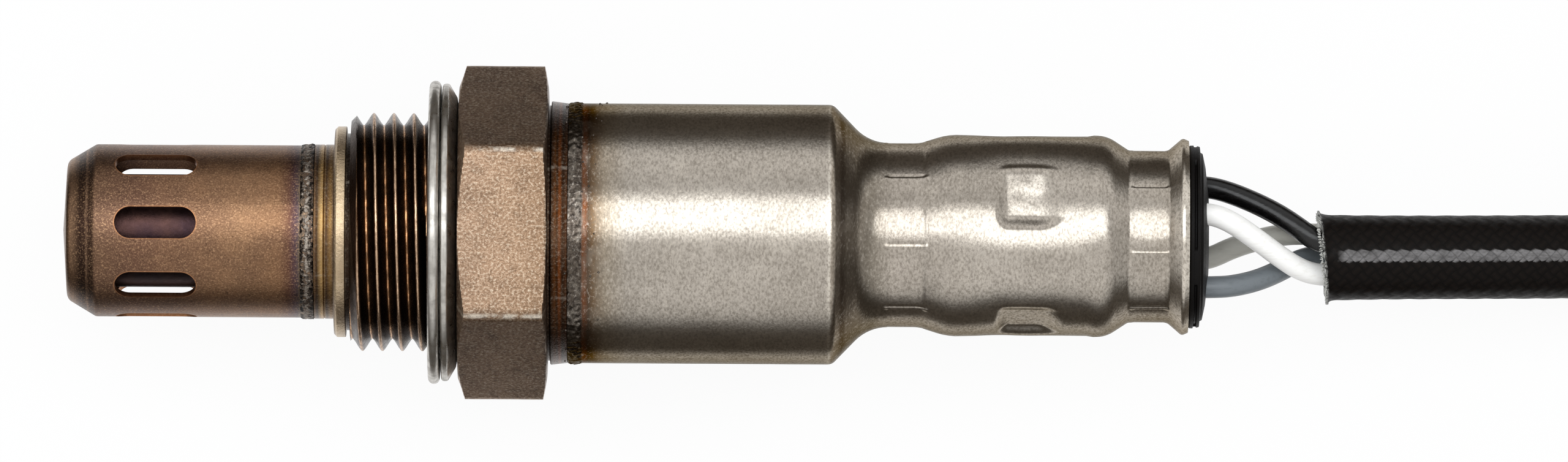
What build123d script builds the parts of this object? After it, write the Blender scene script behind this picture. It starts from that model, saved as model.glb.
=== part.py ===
from build123d import *
import math
import os

# Heated planar oxygen sensor with a four-wire lead. Millimetres, +Z up.
# X runs along the sensor from its gas tip (-X) to its lead (+X). The origin is on the axis, in the plane
# of the gasket face that seats on the exhaust boss. Angles about the axis go from +Z towards +Y.

# Fits and gaps between neighbouring pieces
SLIP = 0.03  # radial gap of pieces that slide into each other
SEAT = 0.02  # gap of flat pieces that bear on each other
ROOM = 0.12  # gap round the ceramic element in its slots

# Shell: threaded, hexagonal steel body
THREAD_R = 8.95
THREAD_LENGTH = 5.86
THREAD_CHAMFER = 0.62
GROOVE_R = 7.4
GROOVE_LENGTH = 0.32
COLLAR_R = 7.925
COLLAR_LENGTH = 0.88
COLLAR_CHAMFER = 0.25
PILOT_R = 6.55
PILOT_LENGTH = 1.52
SPIGOT_LENGTH = 3.42
RELIEF_R = 7.85
HEX_ACROSS_FLATS = 22.0
HEX_LENGTH = 6.73
HEX_CORNER_R = 1.1
HEX_FRONT_CHAMFER = 0.54
HEX_REAR_CHAMFER = 0.3
NECK_R = 9.6
NECK_LENGTH = 0.22
RING_FRONT_R = 9.95
RING_REAR_R = 9.75
RING_LENGTH = 1.30
REAR_SPIGOT_LENGTH = 2.1
FRONT_BORE_R = 3.95
BUSH_BORE_R = 5.8
REAR_BORE_R = 7.4
LIP_BORE_R = 6.4
LIP_THICKNESS = 0.8

# Gasket: one steel strip folded into a crushable ring
GASKET_R = 11.4
GASKET_REAR_RIM_R = 11.2
GASKET_SLANT_R = 10.15
GASKET_BORE_R = 8.45
GASKET_HEIGHT = 2.25
GASKET_SHEET = 0.4
GASKET_FOLD_GAP = 0.08
GASKET_FOLD_BOTTOM_R = 9.15

# Covers over the element
COVER_R = 6.475
COVER_WALL = 0.5
COVER_REACH = 27.5
COVER_TIP_R = 5.19
COVER_TIP_CROWN = 0.35
COVER_TIP_CORNER = 0.7
COVER_CONE_LENGTH = 2.15
COVER_WELD_LENGTH = 0.97
COVER_WELD_RISE = 0.08
SLOT_COUNT = 8
SLOT_PHASE = 5.6
SLOT_CENTRE_X = -20.43
SLOT_LENGTH = 6.13
SLOT_WIDTH = 2.4
INNER_COVER_R = 4.24
INNER_COVER_WALL = 0.4
INNER_COVER_TIP_GAP = 1.4
INNER_COVER_TIP_CORNER = 1.2
INNER_COVER_VENT_R = 1.0
INNER_COVER_HOLE_R = 0.75
INNER_COVER_HOLE_COUNT = 6
INNER_COVER_HOLE_X = -14.6

# Planar zirconia element and its packing in the shell
ELEMENT_WIDTH = 4.2
ELEMENT_THICKNESS = 1.3
ELEMENT_TIP_X = -22.6
ELEMENT_REAR_X = 26.4
FRONT_CERAMIC_LENGTH = 7.0
TALC_LENGTH = 4.0
CRIMP_RING_LENGTH = 0.8

# Casing: one deep-drawn sleeve, welded to the shell and crimped twice
CASING_R = 9.77
CASING_WALL = 0.55
BARREL_LENGTH = 19.85
CONE_LENGTH = 2.74
FRONT_NECK_R = 6.935
FRONT_NECK_LENGTH = 3.81
SWELL_LENGTH = 2.0
BULGE_R = 7.56
BULGE_CROWN = 0.14
BULGE_LENGTH = 12.05
REAR_SHOULDER_LENGTH = 1.65
REAR_NECK_R = 6.475
REAR_NECK_LENGTH = 2.95
LIP_FLARE_LENGTH = 1.1
LIP_R = 7.42
LIP_EDGE_LENGTH = 0.48
CRIMP_JAWS = 8
FRONT_CRIMP_PHASE = -7.2
REAR_CRIMP_PHASE = -11.2
CRIMP_RIDGE = 0.12
CRIMP_RIDGE_WIDTH = 0.3
FRONT_CRIMP_SETBACK = 2.85
FRONT_CRIMP_LENGTH = 3.0
REAR_CRIMP_LENGTH = 2.7
SHOULDER_FILLET = 0.8
CONE_FOOT_FILLET = 3.4
SWELL_FOOT_FILLET = 3.0
BULGE_FRONT_FILLET = 5.0
BULGE_CROWN_FILLET = 40.0
BULGE_REAR_FILLET = 2.4
REAR_NECK_FILLET = 0.3
DIMPLE_SETBACK = 6.3
DIMPLE_LENGTH = 5.3
DIMPLE_WIDTH = 5.6
DIMPLE_FLOOR_LENGTH = 4.1
DIMPLE_FLOOR_WIDTH = 3.6
DIMPLE_DEPTH = 0.95
DIMPLE_CORNER_R = 0.5

# Four wires, and the clocking that they share with the dimples
WIRE_COUNT = 4
WIRE_R = 0.825
CORE_R = 0.42
WIRE_CIRCLE_R = 4.15
CLOCKING = 24.8
WIRE_BEND_RUN = 2.4  # straight run that the bend behind the grommet may use half of
TAIL_BEND_RUN = 5.0  # the same behind the plug

# Contact holder and contacts behind the element
HOLDER_R = 6.2
HOLDER_FRONT_X = 15.5
HOLDER_LENGTH = 12.0
HOLDER_PARTING = 0.2
HOLDER_NOSE_LENGTH = 1.6
HOLDER_POCKET_WIDTH = 4.9
HOLDER_POCKET_DEPTH = 3.0
CLAMP_RING_WALL = 0.6
CLAMP_RING_LENGTH = 4.5
CLAMP_RING_SPLIT = 2.2
SUPPORT_WALL = 0.4
SUPPORT_LENGTH = 3.6
CONTACT_PITCH = 2.3
CONTACT_WIDTH = 1.5
CONTACT_THICKNESS = 0.3
CONTACT_RISE = 2.2
CONTACT_SHANK_LENGTH = 3.0
BARREL_R = 0.95
BARREL_GRIP_LENGTH = 3.0

# Insulators and grommet round the wires
NECK_BUSH_LENGTH = 2.9
SPACER_LENGTH = 10.2
GROMMET_BODY_LENGTH = 5.9
GROMMET_RIM_R = 6.87
GROMMET_RIM_LENGTH = 0.72
GROMMET_FACE_R = 6.15
GROMMET_FACE_LENGTH = 0.67
GROMMET_SLIT_DEPTH = 1.0
GROMMET_SLIT_WIDTH = 0.34
GROMMET_RIB_ANGLE = 15.0
GROMMET_BOSS_R = 1.25
GROMMET_BOSS_HEIGHT = 0.25

# Lead: woven sleeve over the wires, its spare length folded into a hank on the floor
SLEEVE_R = 3.2
SLEEVE_BORE_R = 2.7
SLEEVE_BORE_DEPTH = 8.5
TAIL_BORE_DEPTH = 6.0
FLOOR_Z = -GASKET_R
LEAD_Z = FLOOR_Z + SLEEVE_R
HANK_FRONT_X = 150.0
HANK_Y = 4.4
HANK_LOOP_X = 228.0
HANK_LOOP_R = 22.4
HANK_WAIST_LENGTH = 14.0
HANK_EDGE_R = 3.0
TIE_X = 158.0
TIE_WIDTH = 3.6
TIE_THICKNESS = 1.0
TIE_HEAD_LENGTH = 5.4
TIE_HEAD_WIDTH = 5.0
TIE_HEAD_HEIGHT = 3.2
TIE_TAIL_LENGTH = 6.0

# Plug at the end of the lead
PLUG_FRONT_X = 95.0
PLUG_Y = 17.0
PLUG_BODY_LENGTH = 13.0
PLUG_BODY_WIDTH = 17.0
PLUG_BODY_HEIGHT = 12.0
PLUG_NOSE_LENGTH = 10.5
PLUG_NOSE_WIDTH = 12.6
PLUG_NOSE_HEIGHT = 9.4
PLUG_CORNER_R = 1.6
PLUG_PITCH = 4.4
PLUG_CAVITY_R = 1.0
PLUG_SEAL_BORE_R = 1.6
PLUG_SEAL_BORE_DEPTH = 6.0
PLUG_LATCH_WIDTH = 5.5
PLUG_LATCH_THICKNESS = 1.2
PLUG_LATCH_GAP = 1.1
PLUG_LATCH_LENGTH = 17.0
PLUG_LATCH_FOOT = 3.0
PLUG_LATCH_TOOTH = 0.9
PLUG_LATCH_TOOTH_LENGTH = 2.0
PLUG_THUMB_LENGTH = 3.0
PLUG_THUMB_INSET = 0.8
PLUG_THUMB_OVERHANG = 1.5
PLUG_SEAL_SECTION = 0.9
PLUG_SEAL_LENGTH = 2.4
LOCK_THICKNESS = 1.4
LOCK_RECESS_MARGIN = 1.5
TERMINAL_R = 0.95
TERMINAL_BORE_R = 0.5
TERMINAL_LENGTH = 12.5
TERMINAL_BORE_DEPTH = 6.5
TERMINAL_CRIMP_LENGTH = 2.6
WIRE_SEAL_LENGTH = 4.2

# Route of the sleeve from its open end near the grommet down to the floor and up to the hank
SLEEVE_ROUTE = [
    (66.85, -1.5, -0.9),
    (77.0, -1.42, -2.3),
    (88.0, -1.3, -5.7),
    (98.5, -1.15, LEAD_Z),
    (109.0, -1.0, LEAD_Z),
    (121.0, -0.4, LEAD_Z),
    (133.0, 0.7, LEAD_Z),
    (142.0, HANK_Y - SLEEVE_R, LEAD_Z),
    (HANK_FRONT_X, HANK_Y - SLEEVE_R, LEAD_Z),
]
# Route of the sleeve out of the hank to its open end near the plug
TAIL_ROUTE = [
    (HANK_FRONT_X, HANK_Y + SLEEVE_R, LEAD_Z),
    (143.0, HANK_Y + SLEEVE_R, LEAD_Z),
    (136.0, 9.4, LEAD_Z),
    (129.0, 12.9, LEAD_Z),
]
# A point of each wire on its way from the grommet to the sleeve
WIRE_VIA_POINTS = [
    (64.6, -1.9, 1.1),
    (63.6, 1.94, -0.6),
    (62.9, -0.05, -3.0),
    (63.8, -2.65, -0.7),
]
# Each wire's place in the sleeve's open end, as (y, z) from its centre
WIRE_MOUTH_PLACES = [(-1.33, 0.75), (0.99, 1.3), (1.7, -0.5), (0.15, -1.7)]
# Wires by place on the circle: name, point on the way, place in the sleeve's end, side of the plug
WIRE_NAMES = ["white_front", "black", "white_back", "grey"]
PLUG_SIDES = [(-1, 1), (1, 1), (1, -1), (-1, -1)]
WIRES = list(zip(WIRE_NAMES, WIRE_VIA_POINTS, WIRE_MOUTH_PLACES, PLUG_SIDES))

# Places along the axis that follow from the sizes above
THREAD_FRONT_X = -THREAD_LENGTH
COLLAR_REAR_X = THREAD_FRONT_X - GROOVE_LENGTH
COLLAR_FRONT_X = COLLAR_REAR_X - COLLAR_LENGTH
PILOT_FRONT_X = COLLAR_FRONT_X - PILOT_LENGTH
SPIGOT_FRONT_X = PILOT_FRONT_X - SPIGOT_LENGTH
SPIGOT_R = COVER_R - COVER_WALL - SLIP
HEX_FRONT_X = GASKET_HEIGHT
HEX_REAR_X = HEX_FRONT_X + HEX_LENGTH
RING_FRONT_X = HEX_REAR_X + NECK_LENGTH
CASING_FRONT_X = RING_FRONT_X + RING_LENGTH
REAR_SPIGOT_X = CASING_FRONT_X + REAR_SPIGOT_LENGTH
REAR_SPIGOT_R = CASING_R - CASING_WALL - SLIP
BUSH_SEAT_X = THREAD_FRONT_X
TALC_FRONT_X = BUSH_SEAT_X + FRONT_CERAMIC_LENGTH
TALC_REAR_X = TALC_FRONT_X + TALC_LENGTH
LIP_FRONT_X = REAR_SPIGOT_X - LIP_THICKNESS
CRIMP_RING_FRONT_X = LIP_FRONT_X - CRIMP_RING_LENGTH
INNER_FLANGE_FRONT_X = SPIGOT_FRONT_X - INNER_COVER_WALL
SHOULDER_X = CASING_FRONT_X + BARREL_LENGTH
FRONT_NECK_X = SHOULDER_X + CONE_LENGTH
SWELL_X = FRONT_NECK_X + FRONT_NECK_LENGTH
BULGE_X = SWELL_X + SWELL_LENGTH
DIMPLE_CENTRE_X = BULGE_X + DIMPLE_SETBACK
REAR_SHOULDER_X = BULGE_X + BULGE_LENGTH
REAR_NECK_X = REAR_SHOULDER_X + REAR_SHOULDER_LENGTH
LIP_FLARE_X = REAR_NECK_X + REAR_NECK_LENGTH
LIP_TIP_X = LIP_FLARE_X + LIP_FLARE_LENGTH
LIP_REAR_X = LIP_TIP_X + LIP_EDGE_LENGTH
GROMMET_FACE_X = LIP_REAR_X + GROMMET_RIM_LENGTH + GROMMET_FACE_LENGTH
HOLDER_REAR_X = HOLDER_FRONT_X + HOLDER_LENGTH
BARREL_FRONT_X = HOLDER_REAR_X + CONTACT_SHANK_LENGTH
BARREL_REAR_X = BARREL_FRONT_X + BARREL_GRIP_LENGTH
FRONT_CRIMP_X = FRONT_NECK_X + FRONT_CRIMP_SETBACK
REAR_CRIMP_X = REAR_NECK_X + REAR_NECK_LENGTH / 2
SPACER_R = BULGE_R - DIMPLE_DEPTH - CASING_WALL - SEAT
PLUG_BODY_X = PLUG_FRONT_X + PLUG_NOSE_LENGTH
PLUG_REAR_X = PLUG_BODY_X + PLUG_BODY_LENGTH
PLUG_Z = FLOOR_Z + PLUG_BODY_HEIGHT / 2


def about_axis(angle):
    """Turn about the sensor's axis by an angle from +Z towards +Y, in degrees."""
    return Rot(X=-angle)


def turned(*outline):
    """Solid turned about X from corners (x, radius) or (x, radius, fillet)."""
    corners = [corner[:2] for corner in outline]
    fillets = [corner[2] if len(corner) > 2 else 0 for corner in outline]
    return revolve(make_face(FilletPolyline(*corners, radius=fillets, close=True)), Axis.X)


def rod(front_x, rear_x, radius, y=0.0, z=0.0):
    """Round rod along X."""
    return Pos(front_x, y, z) * extrude(Plane.YZ * Circle(radius), rear_x - front_x)


def tube(front_x, rear_x, radius, bore, y=0.0, z=0.0):
    """Round tube along X."""
    return rod(front_x, rear_x, radius, y, z) - rod(front_x, rear_x, bore, y, z)


def bar(front_x, rear_x, width, height, y=0.0, z=0.0):
    """Rectangular bar along X, centred on (y, z)."""
    return Pos((front_x + rear_x) / 2, y, z) * Box(rear_x - front_x, width, height)


def rounded_bar(front_x, rear_x, width, height, corner, y=0.0, z=0.0):
    """Bar along X with rounded long edges, centred on (y, z)."""
    section = Plane.YZ * RectangleRounded(width, height, corner)
    return Pos(front_x, y, z) * extrude(section, rear_x - front_x)


def bend_radii(route):
    """Largest fillets that the runs of a route leave room for, one for each corner."""
    radii = []
    for before, corner, after in zip(route, route[1:], route[2:]):
        run_in = Vector(*corner) - Vector(*before)
        run_out = Vector(*after) - Vector(*corner)
        half_turn = math.radians(run_in.get_angle(run_out)) / 2
        radii.append(0.45 * min(run_in.length, run_out.length) / math.tan(half_turn))
    return radii


def swept_round(route, radius):
    """Round solid along straight runs joined by tangent arcs."""
    path = FilletPolyline(*route, radius=bend_radii(route))
    start = Plane(origin=route[0], z_dir=Vector(*route[1]) - Vector(*route[0]))
    return sweep(start * Circle(radius), path=path)


def shell_profile():
    """Turned outline of the shell without its hexagon."""
    bore_floor_x = HEX_FRONT_X + 0.35
    return turned(
        (SPIGOT_FRONT_X, FRONT_BORE_R),
        (SPIGOT_FRONT_X, SPIGOT_R, 0.15),
        (PILOT_FRONT_X, SPIGOT_R),
        (PILOT_FRONT_X, PILOT_R),
        (COLLAR_FRONT_X, PILOT_R),
        (COLLAR_FRONT_X, COLLAR_R - COLLAR_CHAMFER),
        (COLLAR_FRONT_X + COLLAR_CHAMFER, COLLAR_R),
        (COLLAR_REAR_X, COLLAR_R),
        (COLLAR_REAR_X, GROOVE_R),
        (THREAD_FRONT_X, GROOVE_R),
        (THREAD_FRONT_X, THREAD_R - THREAD_CHAMFER),
        (THREAD_FRONT_X + THREAD_CHAMFER, THREAD_R),
        (0, THREAD_R),
        (0, RELIEF_R),
        (HEX_FRONT_X, RELIEF_R),
        (HEX_FRONT_X, NECK_R),
        (RING_FRONT_X, NECK_R),
        (RING_FRONT_X, RING_FRONT_R - 0.15),
        (RING_FRONT_X + 0.2, RING_FRONT_R),
        (CASING_FRONT_X, RING_REAR_R),
        (CASING_FRONT_X, REAR_SPIGOT_R),
        (REAR_SPIGOT_X, REAR_SPIGOT_R, 0.6),
        (REAR_SPIGOT_X, LIP_BORE_R),
        (LIP_FRONT_X, LIP_BORE_R),
        (LIP_FRONT_X, REAR_BORE_R),
        (bore_floor_x, REAR_BORE_R),
        (bore_floor_x, BUSH_BORE_R),
        (BUSH_SEAT_X, BUSH_BORE_R),
        (BUSH_SEAT_X, FRONT_BORE_R),
    )


def make_shell():
    """Threaded body: plain cylinder at the thread's crest, wrench hexagon and stepped bore."""
    corner_r = HEX_ACROSS_FLATS / 2 / math.cos(math.radians(30)) - 0.155 * HEX_CORNER_R
    flat_r = HEX_ACROSS_FLATS / 2
    hexagon = RegularPolygon(flat_r, 6, major_radius=False)
    hexagon = fillet(hexagon.vertices(), HEX_CORNER_R)
    prism = Pos(HEX_FRONT_X, 0, 0) * extrude(Plane.YZ * hexagon, HEX_LENGTH)
    chamfers = turned(
        (HEX_FRONT_X, NECK_R - 0.5),
        (HEX_FRONT_X, flat_r),
        (HEX_FRONT_X + HEX_FRONT_CHAMFER, corner_r),
        (HEX_REAR_X - HEX_REAR_CHAMFER, corner_r),
        (HEX_REAR_X, flat_r),
        (HEX_REAR_X, NECK_R - 0.5),
    )
    return shell_profile() + (prism & chamfers)


def make_gasket():
    """Ring folded from one strip: flat front face, two rolled rims and a slanted rear leg."""
    half = GASKET_SHEET / 2
    layer = GASKET_SHEET + GASKET_FOLD_GAP
    fold = layer / 2 - 0.005
    front_x = SEAT + half
    rear_x = GASKET_HEIGHT - SEAT - half
    front_rim = GASKET_R - half
    rear_rim = GASKET_REAR_RIM_R - half
    strip = FilletPolyline(
        (front_x, GASKET_BORE_R),
        (front_x, front_rim),
        (front_x + layer, front_rim),
        (front_x + layer, GASKET_FOLD_BOTTOM_R),
        (front_x + 2 * layer, GASKET_FOLD_BOTTOM_R),
        (front_x + 2 * layer, rear_rim),
        (front_x + 2.6 * layer, rear_rim),
        (rear_x, GASKET_SLANT_R - half),
        (rear_x, GASKET_BORE_R + 0.5),
        radius=[fold, fold, fold, fold, fold * 0.55, fold * 0.55, half * 1.2],
    )
    return revolve(trace(strip, GASKET_SHEET), Axis.X)


def slot_cutters(count, phase, centre_x, length, width, reach):
    """Round-ended cutters that point outwards from the axis, evenly spaced."""
    plane = Plane(origin=(centre_x, 0, 0), x_dir=(1, 0, 0), z_dir=(0, 0, 1))
    cutter = extrude(plane * SlotOverall(length, width), reach)
    return [about_axis(phase + 360 * k / count) * cutter for k in range(count)]


def make_outer_cover():
    """Slotted protective tube with a slightly domed closed tip and its weld bead."""
    tip = -COVER_REACH
    cone_front = tip + COVER_TIP_CROWN
    cone_rear = cone_front + COVER_CONE_LENGTH
    bore_r = COVER_R - COVER_WALL
    weld_x = PILOT_FRONT_X - SEAT - COVER_WELD_LENGTH
    body = turned(
        (tip, 0),
        (cone_front, COVER_TIP_R, COVER_TIP_CORNER),
        (cone_rear, COVER_R, COVER_WALL),
        (weld_x, COVER_R),
        (weld_x + COVER_WELD_LENGTH * 0.3, COVER_R + COVER_WELD_RISE, 0.1),
        (PILOT_FRONT_X - SEAT, COVER_R + COVER_WELD_RISE),
        (PILOT_FRONT_X - SEAT, bore_r),
        (cone_rear, bore_r, COVER_WALL),
        (cone_front + COVER_WALL, COVER_TIP_R - COVER_WALL / 2, COVER_TIP_CORNER / 2),
        (tip + COVER_WALL, 0),
    )
    for cutter in slot_cutters(
        SLOT_COUNT, SLOT_PHASE, SLOT_CENTRE_X, SLOT_LENGTH, SLOT_WIDTH, COVER_R + 1
    ):
        body -= cutter
    return body


def make_inner_cover():
    """Inner cup with a tip vent, a ring of gas holes and a rear flange on the shell's spigot."""
    front = -COVER_REACH + COVER_WALL + INNER_COVER_TIP_GAP
    flange_r = COVER_R - COVER_WALL - SLIP
    bore_r = INNER_COVER_R - INNER_COVER_WALL
    flange_rear = SPIGOT_FRONT_X - SEAT
    body = turned(
        (front, INNER_COVER_VENT_R),
        (front, INNER_COVER_R, INNER_COVER_TIP_CORNER),
        (INNER_FLANGE_FRONT_X, INNER_COVER_R),
        (INNER_FLANGE_FRONT_X, flange_r),
        (flange_rear, flange_r),
        (flange_rear, bore_r),
        (front + INNER_COVER_WALL, bore_r, INNER_COVER_TIP_CORNER - INNER_COVER_WALL),
        (front + INNER_COVER_WALL, INNER_COVER_VENT_R),
    )
    for cutter in slot_cutters(
        INNER_COVER_HOLE_COUNT,
        SLOT_PHASE,
        INNER_COVER_HOLE_X,
        2 * INNER_COVER_HOLE_R + 0.01,
        2 * INNER_COVER_HOLE_R,
        INNER_COVER_R + 1,
    ):
        body -= cutter
    return body


def inner_turn():
    """Turn that lines the element and its contacts up with the wires."""
    return about_axis(CLOCKING - 45)


def element_slot(front_x, rear_x, room):
    """Slot that the element passes through."""
    slot = bar(front_x, rear_x, ELEMENT_WIDTH + 2 * room, ELEMENT_THICKNESS + 2 * room)
    return inner_turn() * slot


def make_element():
    """Layered zirconia strip with its heater, chamfered at the gas end."""
    strip = bar(ELEMENT_TIP_X, ELEMENT_REAR_X, ELEMENT_WIDTH, ELEMENT_THICKNESS)
    tip_edges = strip.edges().filter_by(Axis.Z).group_by(Axis.X)[0]
    return inner_turn() * chamfer(tip_edges, 0.5)


def make_front_ceramic():
    """Ceramic bush that seats on the shell's inner shoulder."""
    bush = turned(
        (BUSH_SEAT_X + SEAT, 0),
        (BUSH_SEAT_X + SEAT, BUSH_BORE_R - SLIP, 0.3),
        (TALC_FRONT_X, BUSH_BORE_R - SLIP),
        (TALC_FRONT_X, 0),
    )
    return bush - element_slot(BUSH_SEAT_X - 1, TALC_FRONT_X + 1, ROOM)


def make_talc_seal():
    """Pressed talc that seals the element in the step of the bore."""
    step_x = HEX_FRONT_X + 0.35 + SEAT
    talc = turned(
        (TALC_FRONT_X + SEAT, 0),
        (TALC_FRONT_X + SEAT, BUSH_BORE_R - SLIP),
        (step_x, BUSH_BORE_R - SLIP),
        (step_x, REAR_BORE_R - SLIP),
        (TALC_REAR_X - SEAT, REAR_BORE_R - SLIP),
        (TALC_REAR_X - SEAT, 0),
    )
    return talc - element_slot(TALC_FRONT_X - 1, TALC_REAR_X + 1, SEAT)


def make_rear_ceramic():
    """Ceramic bush that presses on the talc."""
    bush = turned(
        (TALC_REAR_X, 0),
        (TALC_REAR_X, REAR_BORE_R - SLIP, 0.3),
        (CRIMP_RING_FRONT_X - SEAT, REAR_BORE_R - SLIP, 0.3),
        (CRIMP_RING_FRONT_X - SEAT, 0),
    )
    return bush - element_slot(TALC_REAR_X - 1, CRIMP_RING_FRONT_X + 1, ROOM)


def make_crimp_ring():
    """Steel ring between the rear ceramic and the shell's rolled lip."""
    return tube(CRIMP_RING_FRONT_X, LIP_FRONT_X - SEAT, REAR_BORE_R - SLIP, LIP_BORE_R - 0.3)


def casing_outline(inset):
    """Corners of the drawn sleeve's wall, at a depth under its outer face."""
    slope = inset * 0.4
    return [
        (CASING_FRONT_X + SEAT, CASING_R - inset),
        (SHOULDER_X - slope, CASING_R - inset),
        (FRONT_NECK_X - slope, FRONT_NECK_R - inset),
        (SWELL_X + inset * 0.15, FRONT_NECK_R - inset),
        (BULGE_X + inset * 0.15, BULGE_R - inset),
        ((BULGE_X + REAR_SHOULDER_X) / 2, BULGE_R + BULGE_CROWN - inset),
        (REAR_SHOULDER_X - slope * 0.75, BULGE_R - inset),
        (REAR_NECK_X - slope * 0.75, REAR_NECK_R - inset),
        (LIP_FLARE_X + slope, REAR_NECK_R - inset),
    ]


def casing_fillets(inset):
    """Fillets of the corners that casing_outline gives, without its two ends."""
    return [
        SHOULDER_FILLET - inset,
        CONE_FOOT_FILLET + inset,
        SWELL_FOOT_FILLET + inset,
        BULGE_FRONT_FILLET - inset,
        BULGE_CROWN_FILLET,
        BULGE_REAR_FILLET - inset,
        REAR_NECK_FILLET + inset,
    ]


def make_casing_wall():
    """Drawn sleeve: barrel, cone, two necks, bulge and a flared lip."""
    outer = casing_outline(0)
    inner = casing_outline(CASING_WALL)
    lip_inner = (LIP_REAR_X, LIP_R - 0.62)
    lip = [(LIP_TIP_X, LIP_R, 0.3), (LIP_REAR_X, LIP_R - 0.2, 0.15), lip_inner]
    outer_side = [outer[0]]
    outer_side += [(*at, r) for at, r in zip(outer[1:-1], casing_fillets(0))]
    outer_side.append((*outer[-1], 0.5))
    inner_side = [inner[0]]
    inner_side += [(*at, r) for at, r in zip(inner[1:-1], casing_fillets(CASING_WALL))]
    inner_side.append((*inner[-1], 0.3))
    return turned(*outer_side, *lip, *reversed(inner_side))


def dimple_punch(grow):
    """Rectangular punch with sloping sides, larger by the sheet it pushes in front of it."""
    top_r = BULGE_R + BULGE_CROWN + 0.3
    floor_r = BULGE_R - DIMPLE_DEPTH - grow
    rise = (top_r - floor_r - grow) / DIMPLE_DEPTH
    top_length = DIMPLE_FLOOR_LENGTH + (DIMPLE_LENGTH - DIMPLE_FLOOR_LENGTH) * rise + 2 * grow
    top_width = DIMPLE_FLOOR_WIDTH + (DIMPLE_WIDTH - DIMPLE_FLOOR_WIDTH) * rise + 2 * grow
    floor_plane = Plane(origin=(DIMPLE_CENTRE_X, 0, floor_r), x_dir=(1, 0, 0))
    top_plane = Plane(origin=(DIMPLE_CENTRE_X, 0, top_r), x_dir=(1, 0, 0))
    floor_size = (DIMPLE_FLOOR_LENGTH + grow, DIMPLE_FLOOR_WIDTH + grow)
    floor = floor_plane * RectangleRounded(*floor_size, DIMPLE_CORNER_R)
    top = top_plane * RectangleRounded(top_length, top_width, DIMPLE_CORNER_R)
    return loft([floor.face(), top.face()])


def crimp_ridges(phase, centre_x, length, radius):
    """Thin ridges that the gaps between the crimping jaws leave."""
    plane = Plane(origin=(centre_x, 0, radius - CRIMP_RIDGE), x_dir=(1, 0, 0), z_dir=(0, 0, 1))
    ridge = extrude(plane * SlotOverall(length, CRIMP_RIDGE_WIDTH), 2 * CRIMP_RIDGE)
    return [about_axis(phase + 360 * k / CRIMP_JAWS) * ridge for k in range(CRIMP_JAWS)]


def make_casing():
    """Casing with its four punched dimples and two rows of crimp marks."""
    casing = make_casing_wall()
    cavity = rod(BULGE_X, REAR_SHOULDER_X, BULGE_R - CASING_WALL / 2)
    for k in range(WIRE_COUNT):
        turn = about_axis(CLOCKING + 90 * k)
        casing += turn * dimple_punch(CASING_WALL) & cavity
        casing -= turn * dimple_punch(0)
    for ridge in crimp_ridges(FRONT_CRIMP_PHASE, FRONT_CRIMP_X, FRONT_CRIMP_LENGTH, FRONT_NECK_R):
        casing += ridge
    for ridge in crimp_ridges(REAR_CRIMP_PHASE, REAR_CRIMP_X, REAR_CRIMP_LENGTH, REAR_NECK_R):
        casing += ridge
    return casing


def make_holder_half(side):
    """Half of the ceramic clamp that presses the contacts onto the element; side is 1 or -1."""
    half = rod(HOLDER_FRONT_X, HOLDER_REAR_X, HOLDER_R)
    reach = HOLDER_R + 1
    half -= bar(HOLDER_FRONT_X - 1, HOLDER_REAR_X + 1, 2 * reach, reach + HOLDER_PARTING / 2, z=-reach / 2)
    half -= bar(
        HOLDER_FRONT_X - 1,
        HOLDER_FRONT_X + HOLDER_NOSE_LENGTH + 1,
        ELEMENT_WIDTH + 2 * ROOM,
        ELEMENT_THICKNESS + 2 * ROOM,
    )
    half -= bar(
        HOLDER_FRONT_X + HOLDER_NOSE_LENGTH,
        HOLDER_REAR_X + 1,
        HOLDER_POCKET_WIDTH,
        2 * HOLDER_POCKET_DEPTH,
    )
    return inner_turn() * (about_axis(0 if side > 0 else 180) * half)


def make_clamp_ring():
    """Split spring ring round the two holder halves."""
    centre = (HOLDER_FRONT_X + HOLDER_REAR_X) / 2
    front, rear = centre - CLAMP_RING_LENGTH / 2, centre + CLAMP_RING_LENGTH / 2
    ring = tube(front, rear, HOLDER_R + SLIP + CLAMP_RING_WALL, HOLDER_R + SLIP)
    split = bar(front - 1, rear + 1, CLAMP_RING_SPLIT, 4 * HOLDER_R, z=2 * HOLDER_R)
    return inner_turn() * (ring - split)


def make_support_bush():
    """Thin pressed bush that centres the clamped holder in the casing."""
    centre = (HOLDER_FRONT_X + HOLDER_REAR_X) / 2
    front = centre - SUPPORT_LENGTH / 2
    rear = centre + SUPPORT_LENGTH / 2
    bore_r = HOLDER_R + CLAMP_RING_WALL + 2 * SLIP
    outer_r = CASING_R - CASING_WALL - SLIP
    return turned(
        (centre, bore_r),
        (centre, outer_r - SUPPORT_WALL, 0.2),
        (front, outer_r - SUPPORT_WALL),
        (front, outer_r),
        (centre + SUPPORT_WALL, outer_r, 0.5),
        (centre + SUPPORT_WALL, bore_r + SUPPORT_WALL, 0.2),
        (rear, bore_r + SUPPORT_WALL),
        (rear, bore_r),
    )


def wire_place(k):
    """Place (y, z) of a wire on the circle where the wires leave the grommet."""
    angle = math.radians(CLOCKING + 90 * k)
    return WIRE_CIRCLE_R * math.sin(angle), WIRE_CIRCLE_R * math.cos(angle)


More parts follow.
